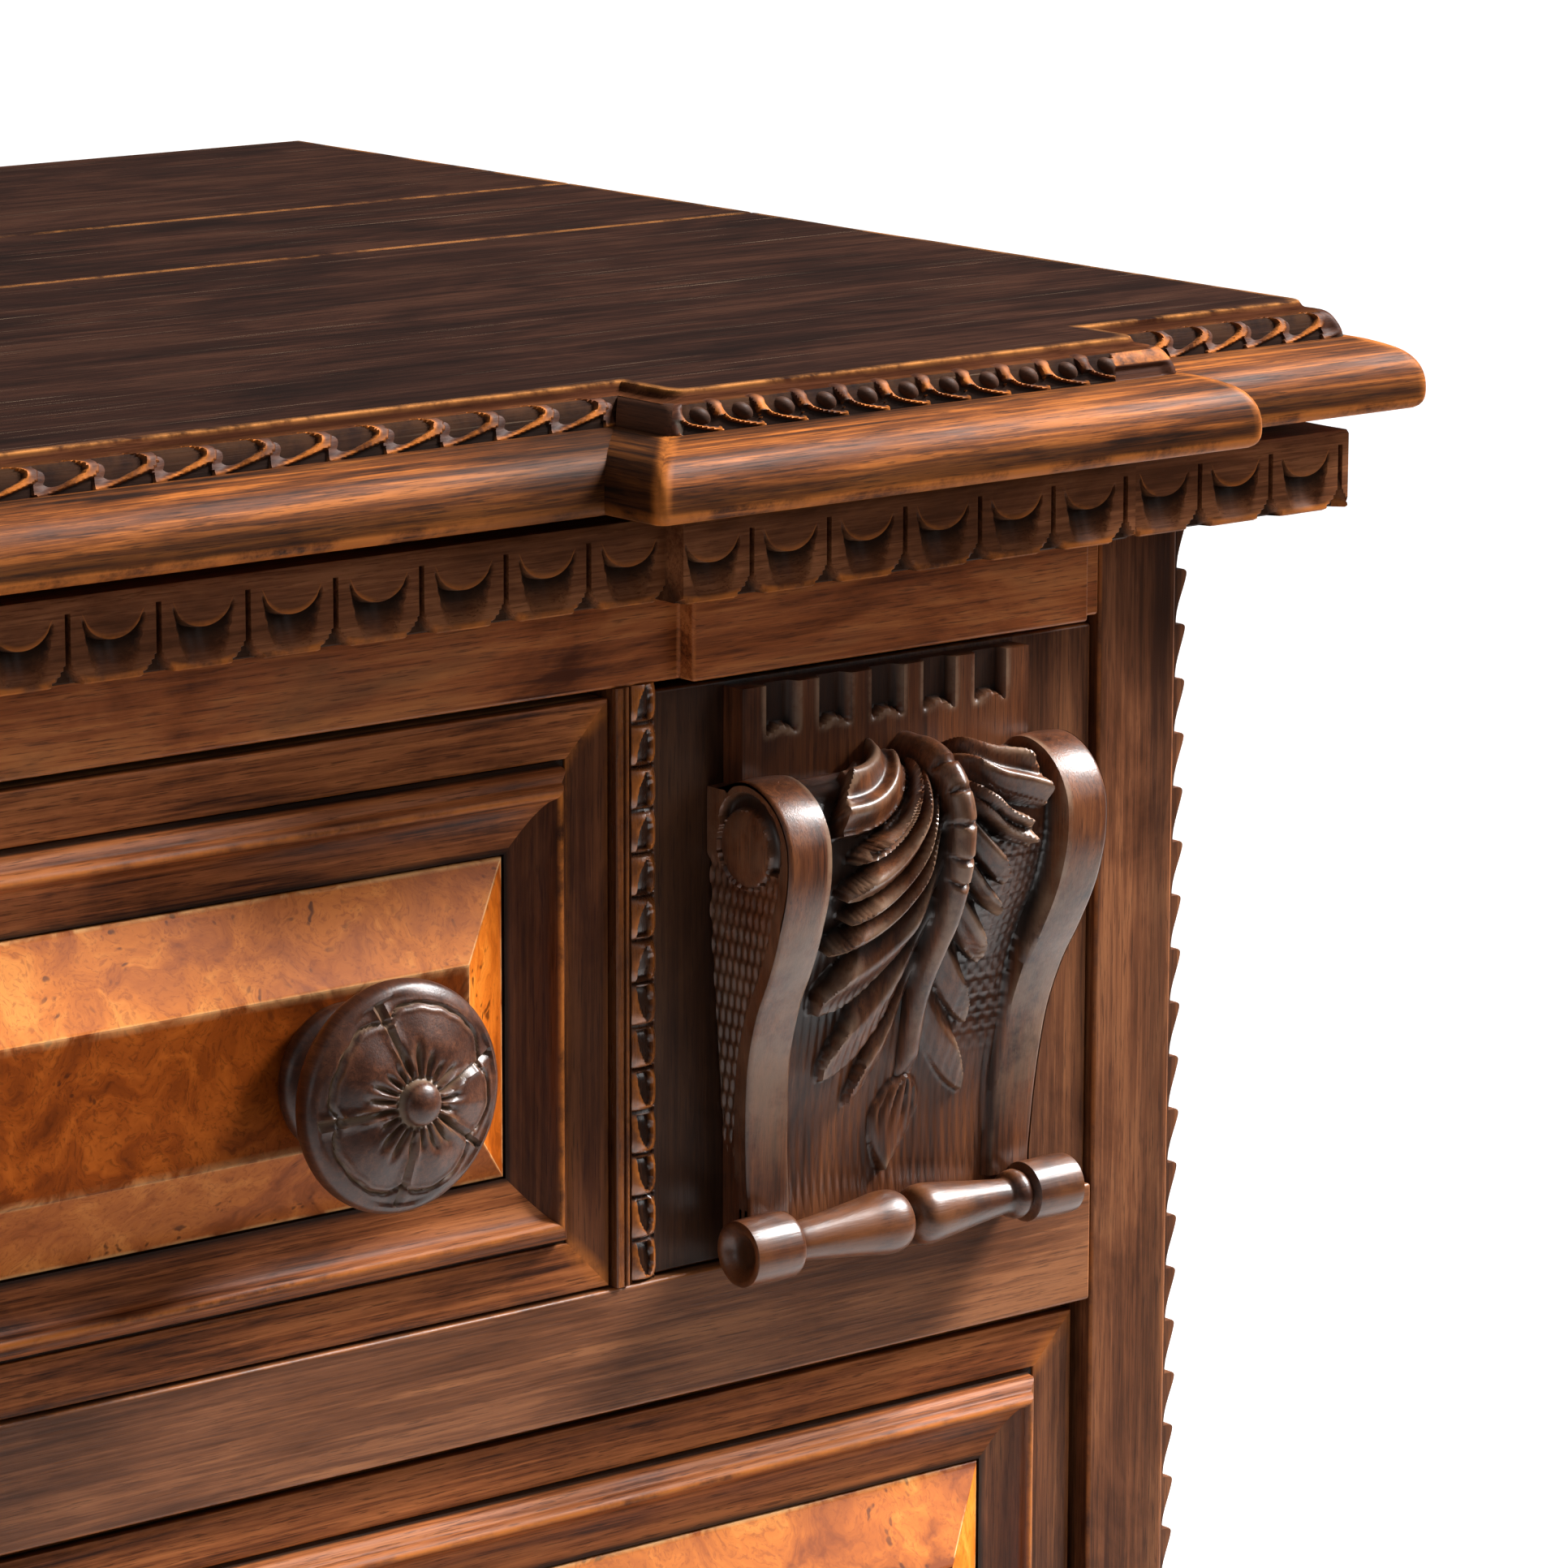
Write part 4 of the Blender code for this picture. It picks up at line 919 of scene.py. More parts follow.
def frieze_length(skin, run, kind, thickness):
    anchor, pitch = FRIEZE_UNITS[kind]
    rows = 2 + len(LIP_ROWS) + 1 + len(FACE_ROWS)
    tall = FRIEZE_HIGH.z - FRIEZE_LOW.z
    inset = np.zeros(rows + 2)
    inset[[0, rows - 1]] = FRIEZE_ARRIS
    inset[rows:] = thickness
    shares = frieze_stations(run, anchor, pitch)
    rings = sweep(run, np.stack((inset, np.zeros(rows + 2)), axis=1), shares)
    front = rings[:, 1]
    spot = np.abs(front[:, 0]) if abs(run[2][1]) > 0.5 else -front[:, 1]
    step = (spot - anchor) / pitch
    off = ((step - np.round(step)) * pitch)[:, None]
    middle = ((fraction(step) - 0.5) * pitch)[:, None]
    lip = lip_height(middle)
    base = FRIEZE_ARRIS
    height = np.concatenate((np.zeros(lip.shape), np.full(lip.shape, base), base + (lip - base) * LIP_ROWS,
                             lip + LIP_EDGE, lip + (tall - base - lip) * FACE_ROWS), axis=1)
    height = np.concatenate((height[:, :-1], np.full(lip.shape, tall)), axis=1)
    relief, dirt_and_painted_shade = frieze_relief(off, middle, height)
    relief += uneven(rings[:, :rows], "frieze")
    wear_and_painted_light = np.zeros(relief.shape)
    wear_and_painted_light[:, :3] = 0.7 * (relief[:, :3] > -0.5 * MM)
    wear_and_painted_light[:, 2 + len(LIP_ROWS)] = 0.6 * (np.abs(middle[:, 0]) < LIP_HALF)
    rings[:, :rows, :2] += np.array(run[2], float) * relief[..., None]
    rings[:, :rows, 2] = FRIEZE_LOW.z + height
    rings[:, rows, 2] = FRIEZE_HIGH.z
    rings[:, rows + 1, 2] = FRIEZE_LOW.z
    skin.tube(rings, wear_and_painted_light, dirt_and_painted_shade, finish=abs(run[2][0]))


def make_frieze():
    half = FRIEZE_HIGH.x
    left = FRIEZE_BLOCK_X - FRIEZE_BLOCK_HALF
    right = FRIEZE_BLOCK_X + FRIEZE_BLOCK_HALF
    back = FRIEZE_MIDDLE_Y + FRIEZE_BACK
    skin = Skin()
    frieze_length(skin, ((left, FRIEZE_MIDDLE_Y), (-left, FRIEZE_MIDDLE_Y), (0, -1), 0, 0), "middle",
                  back - FRIEZE_MIDDLE_Y)
    side = ((half, FRIEZE_HIGH.y), (half, FRIEZE_END_Y), (1, 0), 0, 1)
    end = ((half, FRIEZE_END_Y), (right, FRIEZE_END_Y), (0, -1), 1, 0)
    block = ((right, FRIEZE_LOW.y), (left, FRIEZE_LOW.y), (0, -1), 0, 0)
    lengths = ((side, "side", half - SIDE_HIGH.x), (end, "end", back - FRIEZE_END_Y),
               (block, "block", back - FRIEZE_LOW.y))
    for run, kind, thickness in lengths:
        frieze_length(skin, run, kind, thickness)
        frieze_length(skin, mirrored(run), kind, thickness)
    skin.piece("frieze_carved", "chest", ["frieze"], "walnut", FRIEZE_FINISH)


make_frieze()


# Long drawers

BORDER_THICKNESS = 4.0 * MM
BORDER_PROFILE = np.array(((0.0, -4.0), (0.0, -0.9), (0.25, -0.3), (0.8, 0.0), (2.6, 0.0), (7.5, 0.0),
                           (12.6, 0.0), (14.3, 0.0), (14.8, -0.3), (15.0, -0.9), (15.0, -4.0))) * MM
BORDER_WEAR = np.array((0.0, 0.1, 0.35, 0.1, 0.0, 0.0, 0.0, 0.1, 0.6, 0.2, 0.0))
BORDER_DIRT = np.array((1.0, 0.5, 0.0, 0.0, 0.0, 0.0, 0.0, 0.0, 0.0, 0.6, 1.0))
# Moulding: inset from its outer line, and height over the border
MOULDING_LINE = np.array(((0.2, -0.8), (1.4, -0.8), (1.7, 0.6), (2.0, 2.6), (2.7, 3.5), (3.9, 4.4),
                          (5.0, 5.0), (5.4, 6.2), (6.3, 7.5), (7.4, 8.0), (8.5, 7.5), (9.2, 6.3),
                          (9.9, 5.2), (11.5, 4.1), (14.5, 3.0), (18.5, 2.5), (22.8, 2.4))) * MM
MOULDING_BACK = np.array(((22.8, -3.6), (0.2, -3.6))) * MM
MOULDING_POINTS = 52
# Panel: inset from its outer line, and height over the border
PANEL_ROWS = np.array(((0.0, -3.0), (0.0, 1.8), (0.5, 2.35), (1.4, 2.9), (22.9, 18.3), (23.5, 18.65),
                       (24.1, 18.8), (26.0, 18.8))) * MM
PANEL_BEVEL_END = 5           # rows of faces up to the field's arris
PANEL_MITRE = 0.55 * MM       # rubbed width beside each mitre
PANEL_WEAR = np.array((0.0, 0.3, 0.5, 0.0, 0.0, 0.35, 0.2, 0.0))
# Painted highlight along the bevels' mitres, with some rubbing
PANEL_MITRE_HIGHLIGHT = 0.8
PANEL_DIRT = np.array((1.0, 0.7, 0.2, 0.0, 0.0, 0.0, 0.0, 0.0))
PANEL_SMOOTH = 4.0
STRIP_STEP = 6.0 * MM         # between the sections of borders and mouldings
BORDER_SMOOTH = 35.0
# Finish of the upright lengths; the top drawer's darker walnut is painted shadow of the corbels and the top
UPRIGHT = {"top_drawer": SHADED, "middle_drawer": WALNUT, "lower_drawer": WALNUT}


def frame_runs(low, high):
    """The four mitred lengths round an upright rectangle, as plan points (x, z)."""
    corners = ((low[0], high[1]), (high[0], high[1]), (high[0], low[1]), (low[0], low[1]))
    outward = ((0, 1), (1, 0), (0, -1), (-1, 0))
    return [(corners[i], corners[(i + 1) % 4], outward[i], 1, 1) for i in range(4)]


def standing(rings, face):
    """Rings laid out flat, turned upright so that their height points to the front of a face."""
    return placed(rings[..., 0], face - rings[..., 2], rings[..., 1])


def drawer_front(drawer):
    """Board of a drawer front, faced with mitred strips."""
    low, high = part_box(f"{drawer}_front")
    skin = Skin()
    corners = np.array(((low.x, low.z), (high.x, low.z), (high.x, high.z), (low.x, high.z)))
    rings = [np.column_stack((corners[:, 0], np.full(4, y), corners[:, 1]))
             for y in (high.y, low.y + BORDER_THICKNESS)]
    skin.tube(np.array(rings), finish=2)
    for i, run in enumerate(frame_runs((low.x, low.z), (high.x, high.z))):
        rings = sweep(run, BORDER_PROFILE, even_shares(run, STRIP_STEP))
        wear_and_painted_light = np.tile(BORDER_WEAR, (len(rings), 1))
        wear_and_painted_light[[0, -1]] = np.maximum(BORDER_WEAR, 0.55 * (BORDER_PROFILE[:, 1] > -0.5 * MM))
        rings[..., 2] += uneven(rings, "border")
        skin.tube(standing(rings, low.y), wear_and_painted_light, BORDER_DIRT, finish=i % 2)
    skin.piece(f"{drawer}_front_faced", drawer, [f"{drawer}_front"], "walnut",
               [STREAKED, UPRIGHT[drawer], SECONDARY["X"]], BORDER_SMOOTH)


def drawer_moulding(drawer):
    low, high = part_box(f"{drawer}_moulding")
    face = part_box(f"{drawer}_front")[0].y
    line = spline(MOULDING_LINE, MOULDING_POINTS)
    profile = np.vstack((line, MOULDING_BACK))
    rise = np.concatenate((line[:, 1], (0.0, 0.0)))
    wear_and_painted_light = ease_mm(rise, 7.2, 8.0) * 0.7
    dirt_and_painted_shade = np.maximum(ease_mm(rise, 1.2, -0.4), ease_mm(profile[:, 0], 20, 22.6))
    skin = Skin()
    for i, run in enumerate(frame_runs((low.x, low.z), (high.x, high.z))):
        rings = sweep(run, profile, even_shares(run, STRIP_STEP))
        rings[..., 2] += uneven(rings, "moulding")
        skin.tube(standing(rings, face), wear_and_painted_light, dirt_and_painted_shade, finish=i % 2)
    skin.piece(f"{drawer}_moulding_worn", drawer, [f"{drawer}_moulding"], "dark_walnut",
               [STREAKED, UPRIGHT[drawer]])


def drawer_panel(drawer):
    low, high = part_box(f"{drawer}_panel")
    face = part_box(f"{drawer}_front")[0].y
    rings = []
    for inset, height in PANEL_ROWS:
        ring = []
        for corner_x, corner_z, side_x, side_z in ((low.x, low.z, 1, 1), (high.x, low.z, -1, 1),
                                                   (high.x, high.z, -1, -1), (low.x, high.z, 1, -1)):
            corner_x += side_x * inset
            corner_z += side_z * inset
            ends = [(corner_x, corner_z + side_z * PANEL_MITRE), (corner_x, corner_z),
                    (corner_x + side_x * PANEL_MITRE, corner_z)]
            ring += ends if side_x == side_z else ends[::-1]
        rings.append([(x, face - height, z) for x, z in ring])
    skin = Skin()
    columns = len(rings[0])
    wear_and_painted_light = np.repeat(PANEL_WEAR[:, None], columns, axis=1)
    # Painted highlight: the bevels' mitres take the pale rubbed tone
    wear_and_painted_light[2:6, 1::3] = np.maximum(wear_and_painted_light[2:6, 1::3], PANEL_MITRE_HIGHLIGHT)
    skin.tube(np.array(rings), wear_and_painted_light, PANEL_DIRT[:, None])
    # The upright bevels' brighter tones are partly painted light on the bevel turned to the lamps
    grain = [2 if column in (3, 4, 5, 9, 10, 11) else 3 if column < 3 else 0 for column in range(columns)]
    skin.quad_finish = (grain * PANEL_BEVEL_END + [1] * len(skin.quad_finish))[:len(skin.quad_finish)]
    skin.cap_finish = [0, 1]
    skin.piece(f"{drawer}_panel_burl", drawer, [f"{drawer}_panel"], "burl_walnut",
               [BURL_BEVEL, BURL_FIELD, BURL_STRAIGHT, BURL_LOW], PANEL_SMOOTH)


# Knobs

# Turned outline: radius, and distance from the panel's field
KNOB_LINE = np.array(((17.5, 0.0), (19.8, 1.6), (20.8, 4.2), (19.8, 6.8), (16.6, 9.0), (14.2, 11.6),
                      (14.4, 14.4), (17.6, 17.2), (21.5, 19.0), (27.0, 21.2), (30.4, 24.4), (31.2, 27.6),
                      (30.4, 30.4), (28.8, 31.6))) * MM
KNOB_POINTS = 46
KNOB_NECK = 17.0 * MM         # dusty where the turning is thinner
FACE_RINGS = 64
KNOB_TENON = 8.0 * MM
KNOB_ROUND = 144
FLOWER_EDGE = 27.6 * MM
FLOWER_BASE = 31.2 * MM
FLOWER_RISE = 6.8 * MM
DIVIDERS = np.radians((17.0, 109.0, 186.0, 263.0, 325.0))
GOUGES = 21
LEFT_TURN = 0.9               # radians by which the left-hand flowers differ


def flower(radius, angle):
    """Height of the carved face of a knob over the panel's field."""
    share = radius / FLOWER_EDGE
    crown = FLOWER_BASE + FLOWER_RISE * np.cos(0.5 * math.pi * np.clip(share, 0, 1)) ** 0.9
    swing = np.min(np.abs((angle[..., None] - DIVIDERS + math.pi) % (2 * math.pi) - math.pi), axis=-1)
    side = radius * swing
    outer = ease(share, 0.26, 0.4)
    groove = -1.2 * MM * bell(side, 0.7 * MM) * outer
    ridge = 0.45 * MM * bell(side - 1.6 * MM, 0.7 * MM) * outer
    belly = 1.2 * MM * ease(swing, 0.05, 0.6) * ease(share, 0.3, 0.65)
    scallop = FLOWER_EDGE * (0.93 - 0.11 * bell(swing, 0.16) + 0.008 * np.sin(angle * 23))
    rim = radius - scallop
    line = -1.1 * MM * bell(rim, 0.55 * MM)
    lip = 0.25 * MM * bell(rim + 1.3 * MM, 0.6 * MM)
    beat = GOUGES * angle + 0.8 * np.sin(2 * angle + 1.0)
    cuts = (0.5 + 0.5 * np.cos(beat)) ** 2.2
    length = 16.5 * MM + 2.5 * MM * np.sin(beat / GOUGES * 5.0)
    inner = ease_mm(radius, 6.4, 7.6) * ease(radius, length, 0.6 * length)
    gouge = -1.7 * MM * cuts * inner
    ball = 3.8 * MM * dome(radius / (6.0 * MM))
    moat = -0.9 * MM * bell(radius - 6.5 * MM, 0.6 * MM)
    return crown + groove + ridge + belly + line + lip + gouge + ball + moat


def make_knob(drawer, side, turn):
    node = f"{drawer}_knob_{side}"
    low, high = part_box(node)
    middle = (low + high) / 2
    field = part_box(f"{drawer}_panel")[0].y
    angle = np.linspace(0, 2 * math.pi, KNOB_ROUND, endpoint=False)
    turned = spline(KNOB_LINE, KNOB_POINTS)
    face = np.linspace(FLOWER_EDGE + 0.3 * MM, 0.35 * MM, FACE_RINGS)
    radius = np.concatenate(((KNOB_TENON, KNOB_TENON), turned[:, 0], face))
    depth = np.concatenate(((field - high.y, 0.0), turned[:, 1], face * 0))
    height = np.repeat(depth[:, None], KNOB_ROUND, axis=1)
    start = len(radius) - len(face)
    height[start:] = flower(face[:, None], np.broadcast_to(angle + turn, (len(face), KNOB_ROUND)))
    relief = height[start:] - blurred(height[start:], 4)
    wear_and_painted_light = np.zeros(height.shape)
    dirt_and_painted_shade = np.zeros(height.shape)
    wear_and_painted_light[start:] = 0.5 * ease_mm(relief, 0.25, 0.7)
    dirt_and_painted_shade[start:] = 0.8 * ease_mm(-relief, 0.15, 0.8)
    dirt_and_painted_shade[(radius < KNOB_NECK) & (np.arange(len(radius)) < start)] = 0.5
    rings = placed(middle.x + radius[:, None] * np.cos(angle), field - height,
                   middle.z + radius[:, None] * np.sin(angle))
    Skin().tube(rings, wear_and_painted_light, dirt_and_painted_shade).piece(f"{node}_carved", drawer, [node], "dark_walnut", [KNOB_FINISH])


for drawer in ("top_drawer", "middle_drawer", "lower_drawer"):
    drawer_front(drawer)
    drawer_moulding(drawer)
    drawer_panel(drawer)
    for side, sign in SIDES:
        make_knob(drawer, side, 0.0 if sign > 0 else LEFT_TURN)


# Corner bays: beaded partition edges and carved corbels

# Section across the partition's edge: distance from the drawer's side, and height
STRIP_SECTION = np.array(((0.0, -0.4), (0.4, 0.0), (2.2, 0.0), (2.6, -0.3), (2.8, -1.1), (3.4, -1.1),
                          (3.6, -0.4), (4.0, -0.2), (4.6, -0.4), (4.9, -2.0), (5.8, -2.0),
                          (6.0, -1.2))) * MM
STRIP_EDGE = -2.0 * MM        # height beyond the beads
BEAD_LOW = 6.0 * MM
BEAD_HIGH = 14.2 * MM
BEAD_PITCH = 12.2 * MM
BEAD_ROWS = 340
BEAD_COLUMNS = 17
BEAD_HEIGHT = 3.0 * MM


def bead_relief(across, up, turned):
    """Cushions one above another, each with an arched niche; across is -1 to 1, up in pitches.

    The niches open downwards, and below the middle of the strip, where it is turned, upwards.
    """
    share = np.where(turned, fraction(up), 1 - fraction(up))
    ends = np.abs(2 * share - 1)
    cushion = np.sqrt(np.clip(1 - ends ** 4.5, 0, 1))
    cushion = cushion * np.sqrt(np.clip(1 - (0.55 + 0.43 * ends ** 3) * across ** 2, 0, 1))
    half = 0.64 * np.sqrt(np.clip((share - 0.14) / 0.36, 1e-6, 1))
    off = np.abs(across - 0.30 + 0.34 * share)
    niche = ease(off / half, 1.0, 0.76) * (share > 0.14) * ease(share, 0.95, 0.88)
    gap = ease(ends, 0.82, 0.96)
    return BEAD_HEIGHT * (cushion - 1) - niche * (0.9 + 1.4 * share) * MM, np.maximum(niche, gap)


def make_partition(side, sign):
    node = f"partition_{side}"
    low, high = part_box(node)
    inner = low.x if sign > 0 else high.x
    across = np.linspace(-1, 1, BEAD_COLUMNS)
    bead = BEAD_LOW + (BEAD_HIGH - BEAD_LOW) * (across + 1) / 2
    edge = abs(high.x - low.x)
    columns = np.concatenate((STRIP_SECTION[:, 0], bead, (edge, edge, 0.0)))
    up = np.linspace(low.z, min(high.z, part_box("fascia")[0].z), BEAD_ROWS)
    height = np.zeros((BEAD_ROWS, len(columns)))
    first = len(STRIP_SECTION)
    last = first + len(bead)
    height[:, :first] = STRIP_SECTION[:, 1]
    turned = (up < (low.z + up[-1]) / 2)[:, None]
    height[:, first:last], sunk = bead_relief(across[None, :], ((up - low.z) / BEAD_PITCH)[:, None], turned)
    height[:, last] = STRIP_EDGE
    height[:, last + 1:] = low.y - high.y
    wear_and_painted_light, dirt_and_painted_shade = marks(height[:, :last], 4, 0.7 * MM, 1.1 * MM)
    wear_and_painted_light[:, :first] *= 0.4
    wear_and_painted_light[:, first:] = np.maximum(wear_and_painted_light[:, first:], 0.55) * (1 - sunk)
    dirt_and_painted_shade *= 0.8
    dirt_and_painted_shade[:, first:] = np.maximum(dirt_and_painted_shade[:, first:] * 0.6, 0.8 * sunk)
    rings = placed(inner + sign * columns, low.y - height, up[:, None])
    Skin().tube(rings, wear_and_painted_light, dirt_and_painted_shade).piece(f"{node}_beaded", "chest", [node], "walnut", [BEAD_FINISH])


# Corbel section: distance in front of the sides, and height over the rail
SCROLL_LINE = np.array(((6.0, 137.9), (9.5, 140.5), (16.0, 141.5), (23.0, 139.5), (29.0, 135.0),
                        (33.0, 128.5), (34.2, 121.5), (33.4, 111.5), (29.5, 98.5), (24.0, 86.5),
                        (17.8, 75.0), (13.0, 61.5), (10.6, 47.5), (9.2, 32.5), (8.4, 12.0))) * MM
SCROLL_ROWS = 216
SCROLL_COLUMNS = 180
SCROLL_SIDE = 60
PLATE_FRONT = 6.1 * MM
PLATE_HALF = 52.5 * MM
HEAD_HALF = 58.5 * MM
FOOT_HALF = 52.5 * MM
FOOT_LEVEL = 17.5 * MM
HEAD_LEVEL = 101.5 * MM
BAND_INNER = 43.5 * MM       # half the width of the hollow field at the head
EYE = (13.5 * MM, 122.5 * MM)
EYE_RADIUS = 10.8 * MM
CRESCENT = (6.2 * MM, 0.6, 2.0)   # width, and the middle and half of its turn round the eye in radians
BAY_FACE = -2.0 * MM              # just in front of the drawer front behind the corbel
ROLL_MIDDLE = (15.0 * MM, 7.5 * MM)
# Roll: distance from the middle, and radius
ROLL_LINE = np.array(((-57.6, 0.6), (-58.0, 4.2), (-60.2, 6.8), (-61.0, 8.6), (-59.5, 9.5), (-45.0, 9.5),
                      (-43.6, 8.4), (-42.4, 5.2), (-40.0, 5.6), (-30.0, 6.6), (-18.0, 8.0), (-8.0, 9.2),
                      (-3.0, 8.2), (-1.0, 5.2), (-0.2, 3.6), (0.8, 5.4), (3.0, 8.0), (7.0, 8.8),
                      (15.0, 7.9), (26.0, 6.4), (34.0, 5.4), (37.4, 5.2), (38.6, 6.6), (41.5, 7.2),
                      (43.4, 6.4), (44.2, 8.4), (45.5, 8.8), (59.5, 8.8), (61.0, 7.9), (60.2, 6.4),
                      (58.2, 4.0), (57.8, 0.6))) * MM
ROLL_POINTS = 150
ROLL_ROUND = 40
ROLL_WEAR = 0.3
ROLL_DIRT = 0.8

# Leaf: fingers droop from the midrib; the ends are where their lower edges run out, down the scroll
MIDRIB = 5.5 * MM
LEAF_ENDS = {-1: np.array((8.0, 36.5, 46.0, 57.0, 65.0, 75.0, 96.0, 117.0, 130.0)) * MM,
             1: np.array((10.0, 32.0, 47.0, 61.5, 71.5, 89.0, 107.6, 127.6)) * MM}
LEAF_REACH = {-1: np.array((43.0, 38.0, 41.0, 38.0, 42.5, 39.5, 34.0, 23.5)) * MM,
              1: np.array((34.0, 28.0, 20.0, 21.0, 20.5, 20.0, 21.0)) * MM}
NOTCHES = np.array((20.0, 28.5, 38.0, 48.5, 56.0)) * MM
BUD_TOP = 119.0 * MM
BUD_END = 147.0 * MM
BUD_HALF = 8.6 * MM
BUD_HEIGHT = 2.7 * MM
LEAF_HEIGHT = (7.4 * MM, 4.4 * MM)       # at the head, and what it loses further down
MIDRIB_HALF = (5.3 * MM, 2.3 * MM)       # at the head, and what it loses further down
BRICK = (4.4 * MM, 1.9 * MM)             # length and height of the punched marks
BRICK_DEPTH = 0.35 * MM
SCORE_DEPTH = 0.12 * MM
SCORE_PITCH = 0.45 * MM                  # of the scored lines and pits, per radian
PIT_ROW = 5.0 * MM
PIT_DEPTH = 0.45 * MM
SUNK_DEPTH = 1.4 * MM
CRESCENT_DEPTH = 3.4 * MM
EYE_HEIGHT = 1.4 * MM
SCROLL_ARRIS = 1.2 * MM
# Painted light: the scroll's sides take the pale rubbed tone all over
SIDE_PAINTED_LIGHT = 0.35


def finger_end(sign, away, down):
    """Where the finger through a point runs out: fingers follow the midrib and then bend outwards."""
    if sign < 0:
        bend = (42.5 * MM - away) / (30 * MM)
        return down + 17 * MM * np.clip(bend, -0.2, 1.6) ** 3
    bend = 1 - away / (20 * MM)
    return down + 8.3 * MM * bend + 17.9 * MM * np.clip(bend, 0, 1) ** 2


def leaf_fingers(x, down):
    """Height of the drooping fingers, as shares of the leaf's height."""
    relief = np.zeros(x.shape)
    for sign in (-1, 1):
        away = sign * (x - MIDRIB)
        ends = LEAF_ENDS[sign]
        order = np.interp(finger_end(sign, away, down), ends, np.arange(len(ends)), -1, len(ends))
        index = np.clip(np.floor(order).astype(int), 0, len(ends) - 2)
        share = order - index
        reach = LEAF_REACH[sign][index]
        tip = reach * (0.70 + 0.30 * ease(share, 0.0, 0.8))
        inside = (away > 0) & (order >= 0) & (order < len(ends) - 1)
        edge = ease(away, tip, tip - 1.3 * MM)
        face = 0.10 + 0.90 * ease(share, 0.03, 0.42) - 0.36 * ease(share, 0.45, 0.98)
        deep_veins = 0.20 * np.sin(2 * math.pi * share * 3.0) * ease_mm(away, 2, 9)
        fine_veins = 0.04 * np.sin(2 * math.pi * share * 4.0) * ease_mm(away, 15, 6)
        veins = np.where(index < 2, deep_veins, fine_veins)
        drop = ease(share, 1.0, 0.95)
        curl = 1.0 + 0.22 * ease(away / reach, 0.5, 0.95)
        root = 0.40 + 0.60 * ease_mm(away, 4, 13)
        blade = (face + veins) * curl * root * edge * (0.12 + 0.88 * drop)
        relief = np.where(inside, np.maximum(relief, blade), relief)
    return relief


def leaf_relief(x, down):
    """Height of the acanthus leaf, its midrib and its bud over the hollow field."""
    height = LEAF_HEIGHT[0] - LEAF_HEIGHT[1] * ease_mm(down, 66, 122)
    relief = height * leaf_fingers(x, down)
    half = MIDRIB_HALF[0] - MIDRIB_HALF[1] * ease_mm(down, 10, 118)
    off = (x - MIDRIB - 0.8 * MM * np.sin(down / (26 * MM))) / half
    rib = dome(off)
    rib_height = height * 1.25 * ease(down, BUD_TOP + 5 * MM, BUD_TOP - 8 * MM)
    for notch in NOTCHES:
        dip = np.clip(1 - ((down - notch + 1.6 * MM * off ** 2) / (1.1 * MM)) ** 2, 0, 1)
        rib = rib - 0.16 * dip * (np.abs(off) < 0.75)
    relief = np.maximum(relief, rib_height * rib)
    share = np.clip((down - BUD_TOP) / (BUD_END - BUD_TOP), 0, 1)
    bud_half = BUD_HALF * np.sin(math.pi * share ** 0.72) ** 0.9 + 0.01 * MM
    across = (x - 4.0 * MM + 6.5 * MM * share) / bud_half
    bud = dome(across) * (share > 0) * (share < 1)
    slits = np.abs(np.sin(across * 7.0)) ** 8 * ease(share, 0.62, 0.3)
    return np.maximum(relief, BUD_HEIGHT * bud * (1 - 0.35 * slits))


def ground_marks(x, down):
    """Gouge marks of the hollow field: upright lines, and small punched bricks beside the right band."""
    bent = x / SCORE_PITCH + 2.0 * np.sin(down / (9 * MM))
    lines = SCORE_DEPTH * np.sin(bent) * ease_mm(down, 60, 100)
    course = down / BRICK[1]
    brick = x / BRICK[0] + 0.5 * np.floor(course)
    joint = np.maximum(np.abs(2 * fraction(course) - 1), np.abs(2 * fraction(brick) - 1))
    bricks = -BRICK_DEPTH * ease(joint, 0.72, 0.95)
    right = ease_mm(x, 16, 24) * ease_mm(down, 120, 100)
    return lines * (1 - right) + bricks * right * ease_mm(down, 36, 54)


def scroll_front(x, down, half):
    """Relief of the front of a corbel's scroll: two smooth bands and the hollow field with its leaf."""
    inner = BAND_INNER - (HEAD_HALF - half)
    away = np.abs(x)
    band = 0.5 * MM * (1 - ((away - (inner + half) / 2) / ((half - inner) / 2)) ** 2)
    depth = 4.2 * MM + 3.6 * MM * ease_mm(down, 8, 46) - 5.4 * MM * ease_mm(down, 74, 114)
    ground = -depth * ease_mm(down, -2, 9) + ground_marks(x, down)
    field = ground + leaf_relief(x, down)
    share = ease(away, inner - 1.6 * MM, inner)
    return np.where(away >= inner, band, field * (1 - share))


